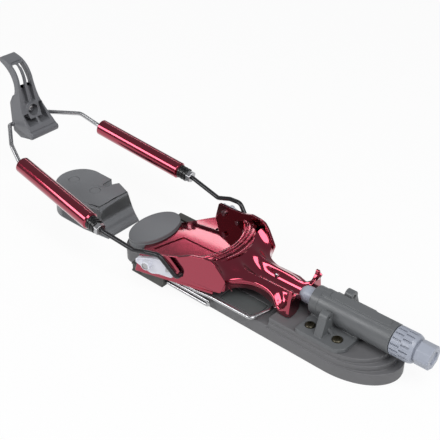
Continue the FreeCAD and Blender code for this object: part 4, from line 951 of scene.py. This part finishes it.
class BINDING_OT_cable_frame(bpy.types.Operator):
    """Build the side rods and the spring cartridges with their caps and nuts"""

    bl_idname = "binding.build_cable_frame"
    bl_label = "Rods and cartridges"

    def execute(self, context):
        pin_y = ear_y(-47.0)
        for name, side in SIDES:
            front, direction, span = tube_line(side)
            route = [(-47, side * (pin_y - 4), 29), (-47, side * (pin_y + 5), 29), (-62, side * 51.5, 46.5),
                     (-76, side * 53.5, 44), (-90, side * 53.5, 39.2), front - direction * 14, front - direction * 1.5]
            rod = bent_wire(route, [3.2, 7, 7, 7, 40], 2.0)
            piece(f"black_rod_{name}", rod, "cable_frame", finish("black_oxide_steel"), [f"{name}_rod"])

            chamfer = size("tube_chamfer")
            profile = softened(
                [(6.4, 0), (7.8 - chamfer, 0), (7.8, chamfer), (7.8, span - chamfer), (7.8 - chamfer, span),
                 (3.5, span), (3.5, span - 3), (6.4, span - 3)], 0.25,
            )
            profile.append(profile[0])
            tube = turned(profile, front, direction, steps=96)
            piece(f"cartridge_{name}", tube, "cable_frame", finish("anodised_aluminium_red"),
                  [f"{name}_cartridge_tube"])

            ribs, cap_radius, cap_length = 3, 6.2, 9.0
            pitch = cap_length / 5
            profile = [(2.0, 4.0), (2.0, -cap_length)]
            for rib in range(ribs):
                start = -cap_length + 2 * rib * pitch
                profile += [(cap_radius, start), (cap_radius, start + pitch)]
                if rib < ribs - 1:
                    profile += [(cap_radius - 0.7, start + pitch), (cap_radius - 0.7, start + 2 * pitch)]
            profile += [(6.35, -0.05), (6.35, 4.0)]
            profile = softened(profile, 0.3)
            profile.append(profile[0])
            cap = turned(profile, front, direction, steps=64)
            piece(f"ribbed_cap_{name}", cap, "cable_frame", finish("black_acetal_cap"),
                  [f"{name}_end_cap"])

            place = place_along(front - direction * 14, direction)
            corners = []
            for corner in range(6):
                angle = math.radians(60 * corner + 30)
                corners.append(place @ Vector((5.6 * math.cos(angle), 5.6 * math.sin(angle), 0)))
            nut = rounded_edges(prism(corners, direction * 5), 0.5, segments=3, angle=30)
            nut = combined(nut, [drum(front - direction * 15, direction, 2.02, 8, 32)], "DIFFERENCE")
            piece(f"lock_nut_{name}", nut, "cable_frame", finish("polished_stainless_steel"),
                  [f"{name}_lock_nut"])
        return {"FINISHED"}


class BINDING_OT_heel_loop(bpy.types.Operator):
    """Build the bent heel wire that runs from one cartridge round to the other"""

    bl_idname = "binding.build_heel_loop"
    bl_label = "Heel loop"

    def execute(self, context):
        route = []
        for _, side in SIDES:
            front, direction, span = tube_line(side)
            route.append([front + direction * 8, front + direction * (span + 5),
                          Vector((-261.4, side * 42.4, 71.7)), Vector((-294, side * 19.5, 72))])
        points = route[0] + route[1][::-1]
        wire = bent_wire(points, [10, 12, 5, 5, 12, 10], 2.0)
        piece("heel_loop_wire", wire, "heel_loop", finish("polished_stainless_steel"), ["heel_wire"])
        return {"FINISHED"}


# ------------------------------------------------------------------ heel lever


def smooth_line(points, steps=5):
    """A smooth curve through (x, z) points."""
    line = []
    padded = [points[0], *points, points[-1]]
    for p0, p1, p2, p3 in zip(padded, padded[1:], padded[2:], padded[3:]):
        for step in range(steps):
            t = step / steps
            line.append(tuple(
                0.5 * (2 * b + (c - a) * t + (2 * a - 5 * b + 4 * c - d) * t * t + (3 * b - a - 3 * c + d) * t ** 3)
                for a, b, c, d in zip(p0, p1, p2, p3)
            ))
    return line + [points[-1]]


def lever_side(shift=0.0):
    """The lever's side outline as (x, z) points; a shift moves its front face back."""
    front = [(-267, 71.2), (-275.5, 80), (-281, 89), (-284, 100), (-285.5, 111), (-286.8, 119), (-291, 126.5),
             (-299, 132), (-309.5, 134.5)]
    front = [(x - shift, z) for x, z in front]
    rear = [(-312.3, 131), (-303.5, 126.5), (-297, 120.5), (-293, 113), (-292, 105), (-294, 98), (-294, 65)]
    return front, rear


class BINDING_OT_heel_lever(bpy.types.Operator):
    """Build the heel lever with its slots, pockets and lip, and its clamp and bolt"""

    bl_idname = "binding.build_heel_lever"
    bl_label = "Heel lever"

    def execute(self, context):
        front, rear = lever_side()
        side = smooth_line(front) + smooth_line(rear[:-1]) + [rear[-1], (-284, 60.6), (-268, 63.6)]
        shape = prism([(x, -20, z) for x, z in side], (0, 40, 0))
        half = [(15.6, 58), (15.6, 74), (14.1, 84), (11.2, 96), (9.3, 110), (8.6, 122), (8.5, 140)]
        half = smooth_line(half[1:-1])
        half = [(15.6, 55)] + half + [(8.5, 140)]
        outline = [(y, z) for y, z in half] + [(-y, z) for y, z in reversed(half)]
        shape = combined(shape, [prism([(-330, y, z) for y, z in outline], (80, 0, 0))], "INTERSECT")

        def curved_cut(y_low, y_high, z_low, z_high, depth, lead=12):
            """A cut that follows the front face, from a lead before it to a depth behind it."""
            line = [point for point in smooth_line(front) if z_low <= point[1] <= z_high]
            faces = [(x + lead, z) for x, z in line] + [(x - depth, z) for x, z in reversed(line)]
            return prism([(x, y_low, z) for x, z in faces], (0, y_high - y_low, 0))

        cuts = []
        for sign in (-1, 1):
            low, high = sorted((sign * 1.3, sign * 6.4))
            cuts.append(curved_cut(low, high, 107, 129, 16))
            low, high = sorted((sign * 1.6, sign * 6.3))
            cuts.append(curved_cut(low, high, 93, 112, 5.5))
        cuts.append(curved_cut(-5.9, 5.9, 126, 131.5, 1.2))
        cuts.append(curved_cut(-6.9, 6.9, 108, 128, 30, lead=-2.6))
        cuts.append(drum((-285.6, 0, 86.5), X_AXIS, 5.2, 30, 48))
        cuts.append(drum((-310, 0, 86.5), X_AXIS, 2.0, 40, 32))
        cuts.append(drum((-294, -30, 72), Y_AXIS, 2.08, 60, 40))
        for y_low, y_high, z_low, z_high in ((-12.2, -1.2, 74.8, 79.8), (1.2, 12.2, 74.8, 79.8),
                                             (-12.2, -6.8, 79.6, 84.5), (8.2, 12.2, 79.6, 90.5)):
            cuts.append(block((-286.5, y_low, z_low), (-262, y_high, z_high)))
        right = [(6.6, 79.7), (12.4, 79.7), (9.8, 92)]
        cuts.append(prism([(-286.5, y, z) for y, z in right], (30, 0, 0)))
        shape = combined(shape, cuts, "DIFFERENCE")
        boss = combined(
            drum((-288, 0, 86.5), X_AXIS, 6.9, 8.6, 56), [drum((-285.6, 0, 86.5), X_AXIS, 5.2, 30, 56)], "DIFFERENCE"
        )
        boss = combined(boss, [drum((-310, 0, 86.5), X_AXIS, 2.0, 60, 32)], "DIFFERENCE")
        shape = combined(shape, [boss], "UNION")
        lip_low, lip_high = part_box("heel_lever")
        lip_half = min(16.5, lip_high.y / MM)
        bar = turned(
            softened([(0, 0), (2.6, 0), (3.7, 1.2), (3.7, 2 * lip_half - 1.2), (2.6, 2 * lip_half), (0, 2 * lip_half)],
                     0.6),
            (-267.4, -lip_half, 67.3), Y_AXIS, steps=48,
        )
        shape = combined(shape, [bar], "UNION")
        shape = rounded_edges(tidied(shape, 0.3), 0.5, segments=3, angle=36)
        piece("moulded_lever", shape, "heel_lever", finish("glass_filled_nylon_lever"),
              ["heel_lever"])

        bottom = 66.0
        plate = [(13, bottom), (12, 92), (8, 98), (-8, 98), (-12, 92), (-13, bottom)]
        plate = prism([(-299, y, z) for y, z in plate], (5, 0, 0), corner=1.5, segments=4)
        holes = [drum((-294, -30, 72), Y_AXIS, 2.08, 60, 40), drum((-320, 0, 86.5), X_AXIS, 2.0, 60, 32)]
        plate = rounded_edges(tidied(combined(plate, holes, "DIFFERENCE")), 0.4, segments=3, angle=40)
        piece("clamp_plate", plate, "heel_lever", finish("glass_filled_nylon_lever"),
              ["lever_clamp"])

        head = turned(
            softened([(0, 0), (3.9, 0), (3.9, 1.6), (3.0, 2.7), (1.6, 3.0), (0, 3.0)], 0.6),
            (-285.5, 0, 86.5), X_AXIS, steps=56,
        )
        socket = [(-283.9, 1.7 * math.cos(a), 86.5 + 1.7 * math.sin(a)) for a in (math.tau * n / 6 for n in range(6))]
        head = combined(head, [drum((-302, 0, 86.5), X_AXIS, 2.0, 17, 32)], "UNION")
        head = combined(head, [prism(socket, (6, 0, 0))], "DIFFERENCE")
        piece("lever_bolt_bright", head, "heel_lever", finish("polished_stainless_steel"),
              ["lever_bolt"])
        return {"FINISHED"}


# ------------------------------------------------------------------ tour lock


class BINDING_OT_tour_lock(bpy.types.Operator):
    """Build the tour lock: its slide with two rails, the bail and the hairpin wires"""

    bl_idname = "binding.build_tour_lock"
    bl_label = "Tour lock"

    def execute(self, context):
        deck, inner, outer, rail_front = 13.8, 32.3, 40.2, -70.0
        rear, front, plate_top = rail_front - 24, rail_front - 2, 16.2
        parts = [
            block((rear, -inner - 2, deck), (front, inner + 2, plate_top)),
            block((-109, -outer, 0.6), (front, -inner, 9.8)),
            block((-125, inner, 5.2), (front, outer, 14.6)),
            block((rear, -outer, 3.8), (rail_front, -inner, plate_top)),
            block((rear, inner, 3.8), (rail_front, outer, plate_top)),
        ]
        shape = combined(parts[0], parts[1:], "UNION")
        cuts = []
        for side, low, high in ((-1, 2.4, 8.0), (1, 7.0, 12.8)):
            edge = side * (outer + 0.5)
            y_low, y_high = sorted((edge, side * (outer - 1.0)))
            cuts.append(block((rear - 26, y_low, low), (rear - 3, y_high, high)))
        for side in (-1, 1):
            for z in (5.8, 10.4, 14.3):
                cuts.append(drum((rail_front - 7, side * 36.3, z), X_AXIS, 1.5, 9, 24))
        shape = rounded_edges(tidied(combined(shape, cuts, "DIFFERENCE")), 0.45, segments=3, angle=40)
        piece("lock_rails", shape, "tour_lock", finish("dark_nylon_rail"), ["lock_slider"])

        start, y, arm = rail_front - 7, 36.3, 14.3
        half = [(start, y, arm), (-36, y, arm), (-18, y, 16.4), (22.5, y, 17.2), (28, y - 17, 18.0)]
        far = [half[0], half[1], (-18, 31, 16.4), (22.5, 31, 17.2), half[4]]
        points = far + [(x, -across, z) for x, across, z in reversed(half)]
        wire = bent_wire(points, [10, 10, 4, 8, 8, 4, 10, 10], 1.5)
        piece("lock_bail", wire, "tour_lock", finish("polished_stainless_steel"), ["lock_bail_wire"])
        low, high, tip = 5.8, 10.4, -22.0
        turn = (high - low) / 2 - 0.05
        hairpin = bent_wire([(start, y, low), (tip, y, low), (tip, y, high), (start, y, high)], [turn, turn], 1.5)
        piece("hairpin_wires", gathered(both_sides(hairpin)), "tour_lock",
              finish("polished_stainless_steel"), ["lock_hairpins"])
        return {"FINISHED"}


# ------------------------------------------------------------------ heel pad


class BINDING_OT_heel_pad(bpy.types.Operator):
    """Build the heel pad with its rounded back, hooked slot and sloping front wall"""

    bl_idname = "binding.build_heel_pad"
    bl_label = "Heel pad"

    def execute(self, context):
        rear, half = -245.0, 25.0
        centre = rear + half
        levels = ((0, 0, -160.0), (1.4, 0.1, -160.4), (4.0, 0.3, -162.2), (8.0, 0.6, -164.6), (13, 0.9, -166.9),
                  (19, 1.1, -169.0), (25, 1.4, -170.7), (28.4, 1.6, -171.6), (29.5, 2.1, -172.3), (30, 3.2, -173.4))

        def outline(z, inset, front):
            points = []
            for number in range(33):
                angle = math.pi / 2 + math.pi * number / 32
                points.append((centre + (half - inset) * math.cos(angle), (half - inset) * math.sin(angle), z))
            points += [(-190, -half + inset, z), (front, -(half - 4) + inset, z)]
            points += [(front, y, z) for y in (-12, -4, 4, 12)]
            points += [(front, half - 6 - inset, z), (-190, half - inset, z)]
            return points

        bm = bmesh.new()
        bm.faces.new([bm.verts.new(point) for point in outline(*levels[0])])
        top_face = bm.faces[:]
        for level in levels[1:]:
            grown = bmesh.ops.extrude_face_region(bm, geom=top_face)["geom"]
            top_face = [item for item in grown if isinstance(item, bmesh.types.BMFace)]
            for vert, point in zip(top_face[0].verts, outline(*level)):
                vert.co = Vector(point)
        shape = outward(bm)
        slot = [(-199, 12), (-199, 20.5), (-199.8, 22.6), (-201.5, 24.3), (-204, 25.2), (-204, 40), (-181, 40),
                (-181, 25.2), (-184.5, 24.2), (-187.8, 22), (-190.2, 18.8), (-191.6, 15), (-192, 12), (-193, 9.6),
                (-195.5, 8.5), (-198, 9.6)]
        cuts = [prism([(x, y, -1) for x, y in slot], (0, 0, 40))]
        for x in (-226.0, -196.0):
            cuts.append(drum((x, -2, -1), Z_AXIS, 2.5, 40, 32))
            cuts.append(drum((x, -2, 8), Z_AXIS, 5.05, 30, 48))
        shape = combined(shape, cuts, "DIFFERENCE")
        shape = rounded_edges(tidied(shape, 0.3), 0.45, segments=3, angle=42)
        piece("moulded_heel_pad", shape, "base", finish("smooth_acetal_pad"), ["heel_pad"])
        plugs = []
        for x in (-226.0, -196.0):
            profile = softened([(0, 26), (4.9, 26), (4.9, 29.9), (0, 29.9)], 0.25)
            plugs.append(turned(profile, (x, -2, 0), Z_AXIS, steps=48))
        piece("heel_pad_plug_set", gathered(plugs), "base", finish("smooth_acetal_pad"),
              ["heel_pad_plugs"])
        return {"FINISHED"}


# ------------------------------------------------------------------ carried nodes and stage


class BINDING_OT_carried(bpy.types.Operator):
    """Give the CAD nodes that stay in view their finishes"""

    bl_idname = "binding.finish_carried_nodes"
    bl_label = "Finish CAD nodes"

    def execute(self, context):
        kinds = {
            "red_anodised": "anodised_aluminium_red", "grey_moulding": "glass_filled_nylon_base",
            "pad_grey": "smooth_acetal_pad", "cast_grey": "satin_cast_housing", "dark_moulding": "dark_nylon_rail",
            "knob_grey": "light_acetal_knob", "bright_steel": "polished_stainless_steel",
            "spring_steel": "spring_steel", "zinc_screw": "zinc_flake_screw", "brass": "turned_brass",
            "cast_white": "bead_blasted_casting", "black_steel": "black_oxide_steel",
            "black_moulding": "black_acetal_cap",
        }
        slots = {part["node"]: part["material_slot"] for part in frame["record"]["subparts"]}
        for name, item in frame["nodes"].items():
            item.data.materials.clear()
            item.data.materials.append(finish(kinds[slots[name]]))
        return {"FINISHED"}


class BINDING_OT_stage(bpy.types.Operator):
    """Set up the floor, the soft studio lights, the world and the camera"""

    bl_idname = "binding.build_stage"
    bl_label = "Stage"

    def execute(self, context):
        scene = context.scene
        bm = bmesh.new()
        bmesh.ops.create_grid(bm, x_segments=1, y_segments=1, size=80)
        mesh = bpy.data.meshes.new("studio_floor")
        bm.to_mesh(mesh)
        bm.free()
        mesh.transform(Matrix.Translation((0, 0, CAD_BOX[0][2] - 0.0005)))
        floor = bpy.data.objects.new("studio_floor", mesh)
        scene.collection.objects.link(floor)
        paper = bpy.data.materials.new("studio_paper_white")
        paper.use_nodes = True
        tree = paper.node_tree
        tree.nodes.clear()
        sheet = add(tree, "ShaderNodeBsdfDiffuse", {"Color": (0.86, 0.86, 0.86, 1)})
        glow = add(tree, "ShaderNodeEmission", {"Color": (1, 1, 1, 1), "Strength": 1.0})
        path = add(tree, "ShaderNodeLightPath")
        seen = add(tree, "ShaderNodeMath", {"operation": "MAXIMUM"})
        tree.links.new(path.outputs["Is Camera Ray"], seen.inputs[0])
        tree.links.new(path.outputs["Is Glossy Ray"], seen.inputs[1])
        either = add(tree, "ShaderNodeMath", {"operation": "MAXIMUM"})
        tree.links.new(seen.outputs["Value"], either.inputs[0])
        tree.links.new(path.outputs["Is Transmission Ray"], either.inputs[1])
        share = add(tree, "ShaderNodeMath", {"operation": "MULTIPLY"})
        tree.links.new(either.outputs["Value"], share.inputs[0])
        share.inputs[1].default_value = 0.92
        shown = add(tree, "ShaderNodeMixShader")
        tree.links.new(share.outputs["Value"], shown.inputs[0])
        tree.links.new(sheet.outputs["BSDF"], shown.inputs[1])
        tree.links.new(glow.outputs["Emission"], shown.inputs[2])
        add(tree, "ShaderNodeOutputMaterial", links={"Surface": shown.outputs["Shader"]})
        mesh.materials.append(paper)

        world = bpy.data.worlds.new("studio_world")
        world.use_nodes = True
        tree = world.node_tree
        tree.nodes.clear()
        sky = add(tree, "ShaderNodeBackground", {"Color": (0.95, 0.97, 1, 1), "Strength": 0.28})
        add(tree, "ShaderNodeOutputWorld", links={"Surface": sky.outputs["Background"]})
        scene.world = world

        target = Vector((-0.06, 0, 0.03))
        lamps = (
            ("key_softbox", (0.75, -0.35, 1.15), 1.2, 0.7, 14.0),
            ("back_strip", (-0.81, 0.83, 0.735), 1.4, 0.045, 0.9),
            ("left_softbox", (-0.7, -1.1, 0.9), 0.9, 0.5, 9.0),
        )
        for name, place, width, height, power in lamps:
            light = bpy.data.lights.new(name, "AREA")
            light.shape = "RECTANGLE"
            light.size = width
            light.size_y = height
            light.energy = power
            lamp = bpy.data.objects.new(name, light)
            back = (Vector(place) - target).normalized()
            along = (X_AXIS - back * X_AXIS.dot(back)).normalized()
            turn = Matrix((along, back.cross(along), back)).transposed()
            lamp.matrix_world = Matrix.Translation(place) @ turn.to_4x4()
            scene.collection.objects.link(lamp)

        view = bpy.data.cameras.new("front_quarter_view")
        view.sensor_width = 36
        view.lens = 69.57
        view.clip_start = 0.01
        camera = bpy.data.objects.new("front_quarter_view", view)
        camera.location = (0.33996, -0.43749, 0.45800)
        camera.rotation_euler = (math.radians(90 - 34.18), 0, math.radians(41.063))
        scene.collection.objects.link(camera)
        scene.camera = camera
        scene.view_settings.view_transform = "Standard"
        return {"FINISHED"}


class BINDING_PT_panel(bpy.types.Panel):
    """The sizes, colours and build steps of the binding"""

    bl_label = "Touring Binding"
    bl_idname = "BINDING_PT_panel"
    bl_space_type = "VIEW_3D"
    bl_region_type = "UI"
    bl_category = "Binding"

    def draw(self, context):
        for group in (context.scene.binding_sizes, context.scene.binding_colours):
            box = self.layout.box()
            for name in group.__annotations__:
                box.prop(group, name)
        for operator in OPERATORS:
            self.layout.operator(operator.bl_idname)


OPERATORS = (
    BINDING_OT_carried,
    BINDING_OT_base,
    BINDING_OT_boot_pad,
    BINDING_OT_housing,
    BINDING_OT_knob,
    BINDING_OT_toe_plate,
    BINDING_OT_brackets,
    BINDING_OT_cable_frame,
    BINDING_OT_heel_loop,
    BINDING_OT_heel_lever,
    BINDING_OT_tour_lock,
    BINDING_OT_heel_pad,
    BINDING_OT_stage,
)
CLASSES = (BindingSizes, BindingColours, *OPERATORS, BINDING_PT_panel)


def register():
    for item in CLASSES:
        bpy.utils.register_class(item)
    bpy.types.Scene.binding_sizes = bpy.props.PointerProperty(type=BindingSizes)
    bpy.types.Scene.binding_colours = bpy.props.PointerProperty(type=BindingColours)


def unregister():
    del bpy.types.Scene.binding_colours
    del bpy.types.Scene.binding_sizes
    for item in reversed(CLASSES):
        bpy.utils.unregister_class(item)


def main():
    """Build every piece and the stage."""
    register()
    for operator in OPERATORS:
        group, name = operator.bl_idname.split(".")
        getattr(getattr(bpy.ops, group), name)()


if __name__ == "__main__":
    main()
